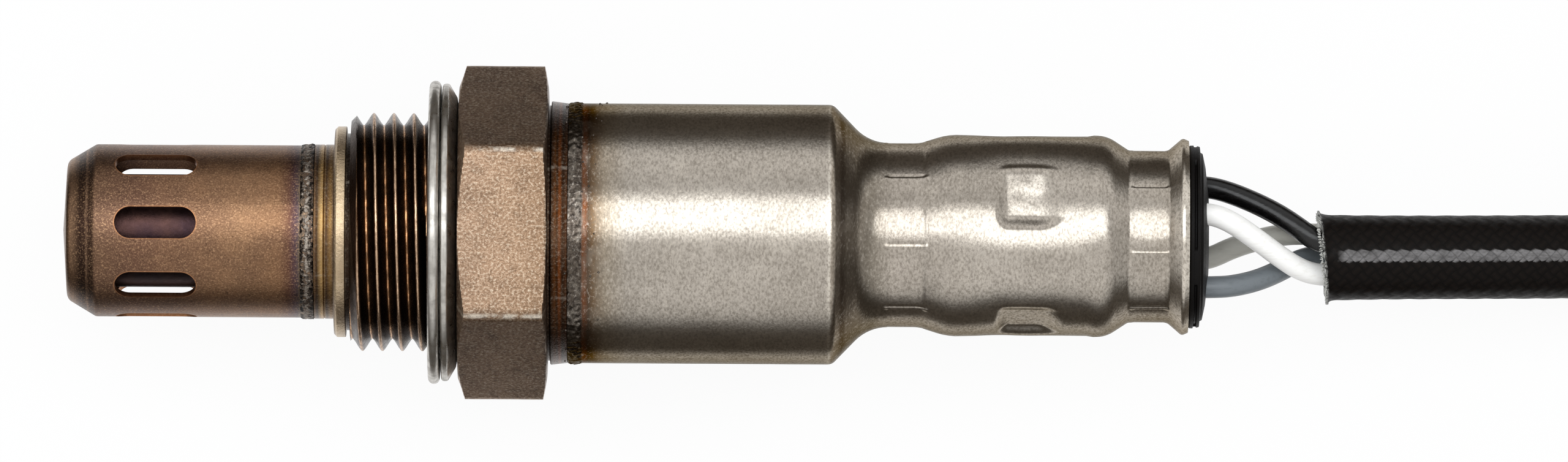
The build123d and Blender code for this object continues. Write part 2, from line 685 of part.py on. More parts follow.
def make_contact(k):
    """Stamped spring contact with its crimp barrel, for the wire at place k."""
    reach = WIRE_CIRCLE_R / math.sqrt(2)
    touch = ELEMENT_THICKNESS / 2 + SEAT
    front_x = HOLDER_FRONT_X + HOLDER_NOSE_LENGTH + 0.6
    tab_x = HOLDER_REAR_X + 0.1
    bow = [
        (front_x, touch + 1.0),
        (front_x + 0.35 * (tab_x - front_x), touch),
        (front_x + 0.7 * (tab_x - front_x), touch + 0.9),
        (tab_x, CONTACT_RISE),
    ]
    back = [(x, v + CONTACT_THICKNESS) for x, v in reversed(bow)]
    side = make_face(Plane.XZ * Polyline(*bow, *back, close=True))
    strip = Pos(0, CONTACT_PITCH / 2 + CONTACT_WIDTH / 2, 0) * extrude(side, CONTACT_WIDTH)
    inner_edge = (CONTACT_PITCH - CONTACT_WIDTH) / 2
    outer_edge = reach + 0.4
    tab = bar(
        tab_x,
        BARREL_FRONT_X + 0.4,
        outer_edge - inner_edge,
        CONTACT_THICKNESS,
        y=(outer_edge + inner_edge) / 2,
        z=CONTACT_RISE + CONTACT_THICKNESS / 2,
    )
    barrel = tube(BARREL_FRONT_X, BARREL_REAR_X, BARREL_R, CORE_R + SEAT, y=reach, z=reach)
    tab -= rod(BARREL_FRONT_X - 1, BARREL_REAR_X, CORE_R + SEAT, y=reach, z=reach)
    contact = strip + tab + barrel
    quadrants = {
        0: contact,
        1: contact.mirror(Plane.XY),
        2: about_axis(180) * contact,
        3: contact.mirror(Plane.XZ),
    }
    return inner_turn() * quadrants[k]


def drilled(solid, radius):
    """Solid with four holes for the wires."""
    for k in range(WIRE_COUNT):
        y, z = wire_place(k)
        solid -= rod(BARREL_FRONT_X, GROMMET_FACE_X + 1, radius, y, z)
    return solid


def make_neck_bush():
    """Insulating bush gripped by the front crimp."""
    radius = FRONT_NECK_R - CASING_WALL - SLIP
    front = FRONT_CRIMP_X - NECK_BUSH_LENGTH / 2
    return drilled(rod(front, front + NECK_BUSH_LENGTH, radius), WIRE_R + SLIP)


def make_wire_spacer():
    """Insulating spacer held by the four dimples."""
    front = DIMPLE_CENTRE_X - SPACER_LENGTH / 2
    blank = turned(
        (front, 0),
        (front, SPACER_R, 0.4),
        (front + SPACER_LENGTH, SPACER_R, 0.4),
        (front + SPACER_LENGTH, 0),
    )
    return drilled(blank, WIRE_R + SLIP)


def make_grommet():
    """Rubber grommet squeezed by the rear crimp, with a slit rim and a boss round each wire."""
    body_r = REAR_NECK_R - CASING_WALL - SLIP
    rim_x = LIP_REAR_X + SEAT
    step_x = LIP_REAR_X + GROMMET_RIM_LENGTH
    blank = turned(
        (rim_x - GROMMET_BODY_LENGTH, 0),
        (rim_x - GROMMET_BODY_LENGTH, body_r, 0.4),
        (rim_x, body_r),
        (rim_x, GROMMET_RIM_R, 0.15),
        (step_x, GROMMET_RIM_R, 0.2),
        (GROMMET_FACE_X, GROMMET_FACE_R, 0.3),
        (GROMMET_FACE_X, 0),
    )
    slit_x = step_x + 0.02
    slit = tube(
        slit_x, slit_x + GROMMET_SLIT_WIDTH, GROMMET_RIM_R + 1, GROMMET_FACE_R - GROMMET_SLIT_DEPTH
    )
    rib_width = 2 * GROMMET_FACE_R * math.sin(math.radians(GROMMET_RIB_ANGLE / 2))
    for k in range(WIRE_COUNT):
        rib = bar(slit_x - 1, slit_x + 1, rib_width, GROMMET_RIM_R, z=GROMMET_RIM_R)
        slit -= about_axis(CLOCKING + 45 + 90 * k) * rib
        y, z = wire_place(k)
        blank += rod(GROMMET_FACE_X - 0.5, GROMMET_FACE_X + GROMMET_BOSS_HEIGHT, GROMMET_BOSS_R, y, z)
    return drilled(blank - slit, WIRE_R + SEAT)


def along(start, end, distance):
    """Point at a distance from start on the line towards end, and that line's direction."""
    direction = (Vector(*end) - Vector(*start)).normalized()
    return Vector(*start) + direction * distance, direction


def make_wire(k):
    """Insulated wire from its crimp barrel through the grommet into the sleeve's open end."""
    y, z = wire_place(k)
    _, direction = along(SLEEVE_ROUTE[0], SLEEVE_ROUTE[1], 0)
    mouth_plane = Plane(origin=SLEEVE_ROUTE[0], x_dir=(0, 1, 0), z_dir=direction)
    mouth = mouth_plane.from_local_coords(Vector(*WIRES[k][2]))
    route = [
        (BARREL_REAR_X + SEAT, y, z),
        (GROMMET_FACE_X + GROMMET_BOSS_HEIGHT + WIRE_BEND_RUN / 2, y, z),
        WIRES[k][1],
        tuple(mouth),
        tuple(mouth + direction * (SLEEVE_BORE_DEPTH - SEAT)),
    ]
    radii = bend_radii([along(route[1], route[0], WIRE_BEND_RUN)[0], *route[1:]])
    path = FilletPolyline(*route, radius=radii)
    wire = sweep(Plane(origin=route[0], z_dir=(1, 0, 0)) * Circle(WIRE_R), path=path)
    return wire + rod(BARREL_FRONT_X + 0.3, BARREL_REAR_X + 0.5, CORE_R, y, z)


def bored_end(solid, route, depth):
    """Opens the woven sleeve's end, at the first point of a route, down to a depth."""
    _, direction = along(route[0], route[1], depth)
    plane = Plane(origin=Vector(*route[0]) - direction, z_dir=direction)
    return solid - extrude(plane * Circle(SLEEVE_BORE_R), depth + 1)


def make_lead_sleeve():
    """Sleeve from its open end near the grommet to the hank."""
    return bored_end(swept_round(SLEEVE_ROUTE, SLEEVE_R), SLEEVE_ROUTE, SLEEVE_BORE_DEPTH)


def make_lead_tail():
    """Sleeve from the hank to its open end near the plug."""
    route = TAIL_ROUTE[::-1]
    return bored_end(swept_round(route, SLEEVE_R), route, TAIL_BORE_DEPTH)


def make_lead_hank():
    """Outer shape of the folded sleeve: two runs side by side that open into one round loop."""
    waist_x = HANK_FRONT_X + HANK_WAIST_LENGTH
    half_waist = 2 * SLEEVE_R
    lean = math.asin((HANK_LOOP_R - half_waist) / (HANK_LOOP_X - waist_x))
    touch_x = HANK_LOOP_X - HANK_LOOP_R * math.sin(lean)
    touch_y = HANK_LOOP_R * math.cos(lean)
    waist = Polyline((waist_x, half_waist), (HANK_FRONT_X, half_waist))
    front = Line((HANK_FRONT_X, half_waist), (HANK_FRONT_X, -half_waist))
    near = Polyline((HANK_FRONT_X, -half_waist), (waist_x, -half_waist), (touch_x, -touch_y))
    loop = ThreePointArc(
        (touch_x, -touch_y), (HANK_LOOP_X + HANK_LOOP_R, 0), (touch_x, touch_y)
    )
    far = Line((touch_x, touch_y), (waist_x, half_waist))
    plan = make_face([*waist.edges(), front, *near.edges(), loop, far])
    slab = Pos(0, HANK_Y, FLOOR_Z) * extrude(plan, 2 * SLEEVE_R)
    edges = slab.edges().filter_by(lambda e: abs(e.length - 2 * SLEEVE_R) > 1e-6)
    edges = edges.filter_by(lambda e: abs(e.center().X - HANK_FRONT_X) > 1e-6)
    slab = fillet(edges, HANK_EDGE_R)
    groove = tie_ring(TIE_X - TIE_WIDTH / 2 - SLIP, TIE_X + TIE_WIDTH / 2 + SLIP, SLIP, 2.0)
    return slab - groove


def tie_ring(front_x, rear_x, slack, thickness):
    """Band round the two runs at the tie, sunk into the soft sleeve by the band's thickness."""
    width = 4 * SLEEVE_R - 2 * TIE_THICKNESS - 2 * slack
    height = 2 * SLEEVE_R - 2 * TIE_THICKNESS - 2 * slack
    corner = HANK_EDGE_R - TIE_THICKNESS
    grown = 2 * (thickness + slack)
    outer = rounded_bar(
        front_x, rear_x, width + grown, height + grown, corner + grown / 2, HANK_Y, LEAD_Z
    )
    return outer - rounded_bar(front_x - 1, rear_x + 1, width, height, corner, HANK_Y, LEAD_Z)


def make_hank_tie():
    """Nylon tie round the hank, with its ratchet head and trimmed tail on top."""
    front, rear = TIE_X - TIE_WIDTH / 2, TIE_X + TIE_WIDTH / 2
    band = tie_ring(front, rear, 0.0, TIE_THICKNESS)
    head_z = FLOOR_Z + 2 * SLEEVE_R + TIE_HEAD_HEIGHT / 2 - TIE_THICKNESS / 2
    head = Pos(TIE_X, HANK_Y, head_z) * Box(TIE_HEAD_WIDTH, TIE_HEAD_LENGTH, TIE_HEAD_HEIGHT)
    head = chamfer(head.edges().group_by(Axis.Z)[-1], 0.5)
    head -= bar(front - 2, rear + 2, 2 * TIE_HEAD_LENGTH, 2 * TIE_HEAD_HEIGHT, HANK_Y, head_z) & Pos(
        0, 0, -SEAT
    ) * rounded_bar(
        front - 2, rear + 2, 4 * SLEEVE_R, 2 * SLEEVE_R + 2 * SEAT, HANK_EDGE_R, HANK_Y, LEAD_Z
    )
    tail_top = FLOOR_Z + 2 * SLEEVE_R + TIE_HEAD_HEIGHT / 2
    tail = Pos(TIE_X, HANK_Y, tail_top) * Box(
        TIE_WIDTH - 0.4, TIE_HEAD_LENGTH + 2 * TIE_TAIL_LENGTH, TIE_THICKNESS
    )
    tail &= Pos(TIE_X, HANK_Y + TIE_HEAD_LENGTH / 2 + TIE_TAIL_LENGTH / 2, tail_top) * Box(
        TIE_WIDTH, TIE_TAIL_LENGTH + 1, TIE_HEAD_HEIGHT
    )
    return band + head + tail


def plug_place(k):
    """Place (y, z) of a cavity in the plug."""
    across, up = WIRES[k][3]
    return PLUG_Y + across * PLUG_PITCH / 2, PLUG_Z + up * PLUG_PITCH / 2


def plug_bored(solid, front_x, rear_x, radius):
    """Solid with the plug's four cavities bored along X."""
    for k in range(WIRE_COUNT):
        y, z = plug_place(k)
        solid -= rod(front_x, rear_x, radius, y, z)
    return solid


def seal_groove(clearance):
    """Room for the ring seal round the plug's nose."""
    front = PLUG_BODY_X - PLUG_SEAL_LENGTH
    smaller = 2 * PLUG_SEAL_SECTION - 2 * clearance
    return front, PLUG_NOSE_WIDTH - smaller, PLUG_NOSE_HEIGHT - smaller


def make_plug_housing():
    """Moulded housing: body, nose with a groove for the seal, four cavities and a sprung latch."""
    body = rounded_bar(
        PLUG_BODY_X, PLUG_REAR_X, PLUG_BODY_WIDTH, PLUG_BODY_HEIGHT, PLUG_CORNER_R, PLUG_Y, PLUG_Z
    )
    nose = rounded_bar(
        PLUG_FRONT_X, PLUG_BODY_X, PLUG_NOSE_WIDTH, PLUG_NOSE_HEIGHT, PLUG_CORNER_R, PLUG_Y, PLUG_Z
    )
    groove_x, inner_width, inner_height = seal_groove(0)
    groove = bar(groove_x, PLUG_BODY_X, 2 * PLUG_NOSE_WIDTH, 2 * PLUG_NOSE_HEIGHT, PLUG_Y, PLUG_Z)
    groove -= rounded_bar(
        groove_x - 1, PLUG_BODY_X + 1, inner_width, inner_height, PLUG_CORNER_R / 2, PLUG_Y, PLUG_Z
    )
    top_z = PLUG_Z + PLUG_BODY_HEIGHT / 2
    latch_z = top_z + PLUG_LATCH_GAP + PLUG_LATCH_THICKNESS / 2
    latch_front = PLUG_REAR_X - PLUG_LATCH_LENGTH
    latch = bar(
        latch_front, PLUG_REAR_X - 0.8, PLUG_LATCH_WIDTH, PLUG_LATCH_THICKNESS, PLUG_Y, latch_z
    )
    foot_x = PLUG_BODY_X + 1.0
    foot = bar(
        foot_x,
        foot_x + PLUG_LATCH_FOOT,
        PLUG_LATCH_WIDTH,
        PLUG_LATCH_GAP + 1.0,
        PLUG_Y,
        top_z + PLUG_LATCH_GAP / 2 - 0.5,
    )
    tooth = bar(
        latch_front,
        latch_front + PLUG_LATCH_TOOTH_LENGTH,
        PLUG_LATCH_WIDTH,
        PLUG_LATCH_TOOTH,
        PLUG_Y,
        latch_z + PLUG_LATCH_THICKNESS / 2 + PLUG_LATCH_TOOTH / 2,
    )
    thumb_rear = PLUG_REAR_X - PLUG_THUMB_INSET
    thumb = bar(
        thumb_rear - PLUG_THUMB_LENGTH,
        thumb_rear,
        PLUG_LATCH_WIDTH + 2 * PLUG_THUMB_OVERHANG,
        PLUG_LATCH_THICKNESS,
        PLUG_Y,
        latch_z,
    )
    housing = body + (nose - groove) + latch + foot + tooth + thumb
    recess = rounded_bar(
        PLUG_FRONT_X - 1,
        PLUG_FRONT_X + LOCK_THICKNESS,
        PLUG_NOSE_WIDTH - 2 * LOCK_RECESS_MARGIN,
        PLUG_NOSE_HEIGHT - 2 * LOCK_RECESS_MARGIN,
        PLUG_CORNER_R / 2,
        PLUG_Y,
        PLUG_Z,
    )
    housing = plug_bored(housing - recess, PLUG_FRONT_X, PLUG_REAR_X, PLUG_CAVITY_R)
    return plug_bored(
        housing, PLUG_REAR_X - PLUG_SEAL_BORE_DEPTH, PLUG_REAR_X + 1, PLUG_SEAL_BORE_R
    )


def make_plug_lock():
    """Lock plate in the nose that keeps the terminals in their cavities."""
    plate = rounded_bar(
        PLUG_FRONT_X + 0.2,
        PLUG_FRONT_X + LOCK_THICKNESS - SEAT,
        PLUG_NOSE_WIDTH - 2 * LOCK_RECESS_MARGIN - 2 * SLIP,
        PLUG_NOSE_HEIGHT - 2 * LOCK_RECESS_MARGIN - 2 * SLIP,
        PLUG_CORNER_R / 2,
        PLUG_Y,
        PLUG_Z,
    )
    return plug_bored(plate, PLUG_FRONT_X, PLUG_BODY_X, TERMINAL_BORE_R + 0.15)


def make_plug_seal():
    """Ribbed ring seal round the nose."""
    front, inner_width, inner_height = seal_groove(SEAT)
    rear = PLUG_BODY_X - SEAT
    ring = rounded_bar(
        front + SEAT, rear, PLUG_NOSE_WIDTH, PLUG_NOSE_HEIGHT, PLUG_CORNER_R, PLUG_Y, PLUG_Z
    )
    for rib_x in (front + 0.3 * PLUG_SEAL_LENGTH, front + 0.75 * PLUG_SEAL_LENGTH):
        ring += rounded_bar(
            rib_x - 0.25,
            rib_x + 0.25,
            PLUG_NOSE_WIDTH + 0.6,
            PLUG_NOSE_HEIGHT + 0.6,
            PLUG_CORNER_R + 0.3,
            PLUG_Y,
            PLUG_Z,
        )
    return ring - rounded_bar(
        front - 1, rear + 1, inner_width, inner_height, PLUG_CORNER_R / 2 + SEAT, PLUG_Y, PLUG_Z
    )


def make_terminal(k):
    """Female terminal crimped on the end of a wire."""
    y, z = plug_place(k)
    front = PLUG_FRONT_X + LOCK_THICKNESS + 0.2
    rear = front + TERMINAL_LENGTH
    terminal = rod(front, rear, TERMINAL_R, y, z)
    terminal -= rod(front - 1, front + TERMINAL_BORE_DEPTH, TERMINAL_BORE_R, y, z)
    return terminal - rod(rear - TERMINAL_CRIMP_LENGTH, rear + 1, CORE_R + SEAT, y, z)


def make_wire_seal(k):
    """Ribbed seal between a wire and its cavity."""
    y, z = plug_place(k)
    front = PLUG_REAR_X - PLUG_SEAL_BORE_DEPTH + 0.6
    outer = PLUG_SEAL_BORE_R - SLIP
    seal = tube(front, front + WIRE_SEAL_LENGTH, outer - 0.25, WIRE_R + SEAT, y, z)
    for share in (0.15, 0.5, 0.85):
        rib_x = front + share * WIRE_SEAL_LENGTH
        seal += tube(rib_x - 0.35, rib_x + 0.35, outer, WIRE_R + SEAT, y, z)
    return seal


def make_tail_wire(k):
    """Insulated wire from the sleeve's tail end into its terminal."""
    y, z = plug_place(k)
    sleeve_end, sleeve_next = TAIL_ROUTE[-1], TAIL_ROUTE[-2]
    across, up = WIRES[k][3]
    _, inward = along(sleeve_end, sleeve_next, 0)
    sideways = Vector(0, 0, 1).cross(inward)
    mouth = Vector(*sleeve_end) - sideways * (across * -1.15) + Vector(0, 0, up * 1.15)
    terminal_rear = PLUG_FRONT_X + LOCK_THICKNESS + 0.2 + TERMINAL_LENGTH
    route = [
        tuple(mouth + inward * (TAIL_BORE_DEPTH - SEAT)),
        tuple(mouth),
        (PLUG_REAR_X + TAIL_BEND_RUN / 2, y, z),
        (terminal_rear + SEAT, y, z),
    ]
    radii = bend_radii([*route[:-1], along(route[-2], route[-1], TAIL_BEND_RUN)[0]])
    path = FilletPolyline(*route, radius=radii)
    wire = sweep(Plane(origin=route[0], z_dir=-inward) * Circle(WIRE_R), path=path)
    return wire + rod(terminal_rear - TERMINAL_CRIMP_LENGTH + 0.3, terminal_rear + 0.5, CORE_R, y, z)


def save(name, shape):
    """Writes one piece."""
    export_step(shape, f"parts/{name}.step")


os.makedirs("parts", exist_ok=True)
save("shell", make_shell())
save("crush_gasket", make_gasket())
save("outer_cover", make_outer_cover())
save("inner_cover", make_inner_cover())
save("sensing_element", make_element())
save("front_ceramic", make_front_ceramic())
save("talc_seal", make_talc_seal())
save("rear_ceramic", make_rear_ceramic())
save("crimp_ring", make_crimp_ring())
save("casing", make_casing())
save("holder_half_upper", make_holder_half(1))
save("holder_half_lower", make_holder_half(-1))
save("clamp_ring", make_clamp_ring())
save("support_bush", make_support_bush())
save("neck_bush", make_neck_bush())
save("wire_spacer", make_wire_spacer())
save("grommet", make_grommet())
save("lead_sleeve", make_lead_sleeve())
save("lead_hank", make_lead_hank())
save("lead_tail", make_lead_tail())
save("hank_tie", make_hank_tie())
save("plug_housing", make_plug_housing())
save("plug_lock", make_plug_lock())
save("plug_seal", make_plug_seal())
for wire_index, (wire_name, *_) in enumerate(WIRES):
    save(f"contact_{wire_name}", make_contact(wire_index))
    save(f"wire_{wire_name}", make_wire(wire_index))
    save(f"tail_wire_{wire_name}", make_tail_wire(wire_index))
    save(f"terminal_{wire_name}", make_terminal(wire_index))
    save(f"wire_seal_{wire_name}", make_wire_seal(wire_index))
print("sleeve bend radii", [round(r, 1) for r in bend_radii(SLEEVE_ROUTE)])
print("tail bend radii", [round(r, 1) for r in bend_radii(TAIL_ROUTE)])
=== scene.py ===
"""Visual model of a heated exhaust oxygen sensor with a four-wire lead, on a pale studio floor."""

import logging
import math
from dataclasses import dataclass
from enum import Enum
from typing import Callable, Optional, Sequence

import bmesh
import bpy
import numpy as np
from bpy.types import Material, Mesh, Node, NodeSocket, NodeTree, Object
from mathutils import Matrix, Vector, noise


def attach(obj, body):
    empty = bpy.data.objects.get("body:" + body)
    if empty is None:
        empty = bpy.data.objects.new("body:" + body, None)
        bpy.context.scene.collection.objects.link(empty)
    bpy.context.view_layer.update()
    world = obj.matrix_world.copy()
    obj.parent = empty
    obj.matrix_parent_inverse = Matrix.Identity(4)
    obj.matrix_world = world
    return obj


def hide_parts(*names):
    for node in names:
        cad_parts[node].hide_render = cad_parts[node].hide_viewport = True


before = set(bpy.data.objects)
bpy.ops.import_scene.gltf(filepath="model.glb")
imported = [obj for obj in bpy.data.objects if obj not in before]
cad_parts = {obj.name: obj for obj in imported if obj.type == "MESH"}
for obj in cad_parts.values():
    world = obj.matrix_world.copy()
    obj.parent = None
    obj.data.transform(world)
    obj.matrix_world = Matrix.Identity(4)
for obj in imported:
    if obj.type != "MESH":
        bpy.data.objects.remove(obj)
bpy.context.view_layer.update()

LOG = logging.getLogger("oxygen_sensor")
MM = 0.001
FLOOR = -11.4  # height of the floor under the gasket's rim, in millimetres
CLOCKING = 24.8  # degrees from +Z to the first dimple and the first wire
WIRE_NAMES = ("white_front", "black", "white_back", "grey")

Array = np.ndarray
Corner = tuple[float, ...]
Line = Sequence[Corner]
Shape = Callable[[Array, Array, Array], Array]


# ---------------------------------------------------------------- colours, nodes and meshes


def linear(colour: str) -> tuple[float, float, float, float]:
    """Turns an sRGB hex colour, such as "8a7f70", into linear red, green, blue and an alpha of 1.

    Args:
        colour: six hex digits.

    Returns:
        The four values.
    """
    parts = [int(colour[i : i + 2], 16) / 255 for i in (0, 2, 4)]
    red, green, blue = (p / 12.92 if p <= 0.04045 else ((p + 0.055) / 1.055) ** 2.4 for p in parts)
    return red, green, blue, 1.0


class Graph:
    """A node tree being built."""

    def __init__(self, tree: NodeTree) -> None:
        """Starts with the tree empty."""
        self.tree = tree
        tree.nodes.clear()

    def feed(self, socket: NodeSocket, value: object) -> None:
        """Gives an input a value, a hex colour, or a link from a socket or a node's first open output.

        Args:
            socket: the input.
            value: what it gets.
        """
        if isinstance(value, Node):
            value = next(output for output in value.outputs if output.enabled)
        if isinstance(value, NodeSocket):
            self.tree.links.new(value, socket)
        else:
            socket.default_value = linear(value) if isinstance(value, str) else value

    def add(
        self, kind: str, *values: object, links: Optional[dict] = None, stops: Line = (), **settings: object
    ) -> Node:
        """Adds a node with its settings and links.

        Args:
            kind: type of the node, a shader node's without its prefix; its operation follows a colon.
            values: what its open inputs get, in order.
            links: what further inputs get, by name.
            stops: places of a colour ramp, each with a hex colour or a grey.
            settings: the node's own properties.

        Returns:
            The new node.
        """
        kind, _, operation = kind.partition(":")
        node = self.tree.nodes.new(kind if "Node" in kind else f"ShaderNode{kind}")
        if operation:
            node.operation = operation
        for name, value in settings.items():
            setattr(node, name, value)
        if stops:
            elements = node.color_ramp.elements
            while len(elements) < len(stops):
                elements.new(1.0)
            for element, (place, colour) in zip(elements, stops):
                element.position = place
                element.color = linear(colour) if isinstance(colour, str) else (colour,) * 3 + (1.0,)
        for socket, value in zip([s for s in node.inputs if s.enabled], values):
            self.feed(socket, value)
        for name, value in (links or {}).items():
            self.feed(node.inputs[name], value)
        return node


def shade(mesh: Mesh, sharp_degrees: float) -> None:
    """Shades a mesh smooth, with its edges sharp above an angle.

    Args:
        mesh: the mesh.
        sharp_degrees: the angle in degrees.
    """
    mesh.polygons.foreach_set("use_smooth", [True] * len(mesh.polygons))
    mesh.set_sharp_from_angle(angle=math.radians(sharp_degrees))
    mesh.update()


def place_piece(
    name: str, mesh: Mesh, material: Material, slot: str, *nodes: str, sharp: float = 32.0
) -> Object:
    """Links a mesh as a piece that rides on the sensor's one body.

    Args:
        name: the piece's name.
        mesh: its mesh, in metres, in the shared frame.
        material: its finish.
        slot: the record's material slot; not used.
        nodes: nodes of the solid model that it stands for.
        sharp: angle in degrees above which an edge looks sharp.

    Returns:
        The piece.
    """
    shade(mesh, sharp)
    mesh.materials.clear()
    mesh.materials.append(material)
    piece = bpy.data.objects.new(name, mesh)
    bpy.context.scene.collection.objects.link(piece)
    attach(piece, "root")
    if nodes:
        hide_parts(*nodes)
    LOG.info("%s: %d faces", name, len(mesh.polygons))
    return piece


def grid_mesh(name: str, points: Array, loop_rows: bool, ends: bool = False) -> Mesh:
    """Makes a mesh from rows of points that each close on themselves, with its faces outwards.

    Args:
        name: the mesh's name.
        points: array of rows by columns by 3, in millimetres.
        loop_rows: whether the last row joins the first.
        ends: whether the first and last rows are capped.

    Returns:
        The mesh, in metres, with doubles merged.
    """
    rows, columns, _ = points.shape
    index = np.arange(rows * columns).reshape(rows, columns)
    upper = index if loop_rows else index[:-1]
    lower = np.roll(index, -1, axis=0) if loop_rows else index[1:]
    quads = np.stack([upper, lower, np.roll(lower, -1, axis=1), np.roll(upper, -1, axis=1)], -1)
    faces = quads.reshape(-1, 4).tolist()
    if ends:
        faces += [index[0].tolist(), index[-1][::-1].tolist()]
    mesh = bpy.data.meshes.new(name)
    mesh.from_pydata((points.reshape(-1, 3) * MM).tolist(), [], faces)
    work = bmesh.new()
    work.from_mesh(mesh)
    bmesh.ops.remove_doubles(work, verts=work.verts, dist=2e-7)
    bmesh.ops.dissolve_degenerate(work, edges=work.edges, dist=1e-8)
    if work.calc_volume(signed=True) < 0:
        bmesh.ops.reverse_faces(work, faces=work.faces)
    work.to_mesh(mesh)
    work.free()
    return mesh


def rounded(corners: Line, arc_step: float = 9.0, closed: bool = True) -> list[Corner]:
    """Rounds the corners of an outline.

    Args:
        corners: (x, radius) or (x, radius, fillet), in millimetres.
        arc_step: degrees between points on a fillet.
        closed: whether the last corner joins the first.

    Returns:
        Points (x, radius) along the outline.
    """
    count, line = len(corners), []
    for i, corner in enumerate(corners):
        here = Vector(corner[:2])
        fillet = corner[2] if len(corner) > 2 else 0.0
        if fillet <= 0 or (not closed and i in (0, count - 1)):
            line.append(tuple(here))
            continue
        before = Vector(corners[i - 1][:2]) - here
        after = Vector(corners[(i + 1) % count][:2]) - here
        half = before.angle(after) / 2
        reach = min(fillet / math.tan(half), 0.49 * before.length, 0.49 * after.length)
        inwards = (before.normalized() + after.normalized()).normalized()
        middle = here + inwards * (reach * math.tan(half) / math.sin(half))
        start = here + before.normalized() * reach - middle
        sweep = start.angle_signed(here + after.normalized() * reach - middle)
        steps = max(2, math.ceil(math.degrees(abs(sweep)) / arc_step))
        line += [tuple(middle + Matrix.Rotation(-sweep * k / steps, 2) @ start) for k in range(steps + 1)]
    return line


def densified(line: Line, spans: Line) -> list[Corner]:
    """Adds points to an outline's edges, inside spans of x alone. The closing edge stays whole.

    Args:
        line: points (x, radius).
        spans: (from x, to x, spacing), in millimetres.

    Returns:
        The outline with its long edges divided.
    """
    result = []
    for start, end in zip(line, line[1:]):
        result.append(tuple(start))
        low, high = sorted((start[0], end[0]))
        stops = set()
        for first, last, spacing in spans:
            a, b = max(first, low), min(last, high)
            steps = math.ceil((b - a) / spacing - 1e-6)
            stops.update(round(a + (b - a) * k / steps, 6) for k in range(steps + 1) if steps > 0)
        for x in sorted(stops, reverse=start[0] > end[0]):
            if low + 1e-5 < x < high - 1e-5:
                share = (x - start[0]) / (end[0] - start[0])
                result.append((x, start[1] + (end[1] - start[1]) * share))
    return [*result, tuple(line[-1])]


def lathe(name: str, line: Line, segments: int, shape: Optional[Shape] = None) -> Mesh:
    """Turns a closed outline about the sensor's axis.

    Args:
        name: the mesh's name.
        line: points (x, radius), in millimetres.
        segments: faces round the axis.
        shape: gives new radii from x, radius and the angle from +Z towards +Y, in radians.

    Returns:
        The mesh.
    """
    along, radius = np.array([p[0] for p in line]), np.array([p[1] for p in line])
    angle = np.linspace(-math.pi, math.pi, segments, endpoint=False)
    x, turn = np.meshgrid(along, angle, indexing="ij")
    reach = np.repeat(radius[:, None], segments, axis=1)
    if shape:
        reach = shape(x, reach, turn)
    points = np.stack([x, reach * np.sin(turn), reach * np.cos(turn)], -1)
    return grid_mesh(name, points, loop_rows=True)


def smoothstep(low: float, high: float, value: Array) -> Array:
    """Smooth rise from 0 at low to 1 at high."""
    t = np.clip((value - low) / (high - low), 0.0, 1.0)
    return t * t * (3 - 2 * t)


def from_centre(turn: Array, centre: float, period: float) -> Array:
    """Signed angle in radians to the nearest of evenly spaced places round the axis, from degrees."""
    step = math.radians(period)
    return (turn - math.radians(centre) + step / 2) % step - step / 2


def lumps(x: Array, turn: Array, radius: float, size: float, seed: float) -> Array:
    """Smooth noise on a ring's surface.

    Args:
        x: places along the axis, in millimetres.
        turn: angles round the axis, in radians.
        radius: the ring's radius, in millimetres.
        size: size of a lump, in millimetres.
        seed: offset that picks the pattern.

    Returns:
        Values from about -1 to 1.
    """
    y, z = radius * np.sin(turn) / size, radius * np.cos(turn) / size
    flat = [noise.noise((a / size + seed, b, c)) for a, b, c in zip(x.ravel(), y.ravel(), z.ravel())]
    return np.array(flat).reshape(x.shape)


# ---------------------------------------------------------------- finishes


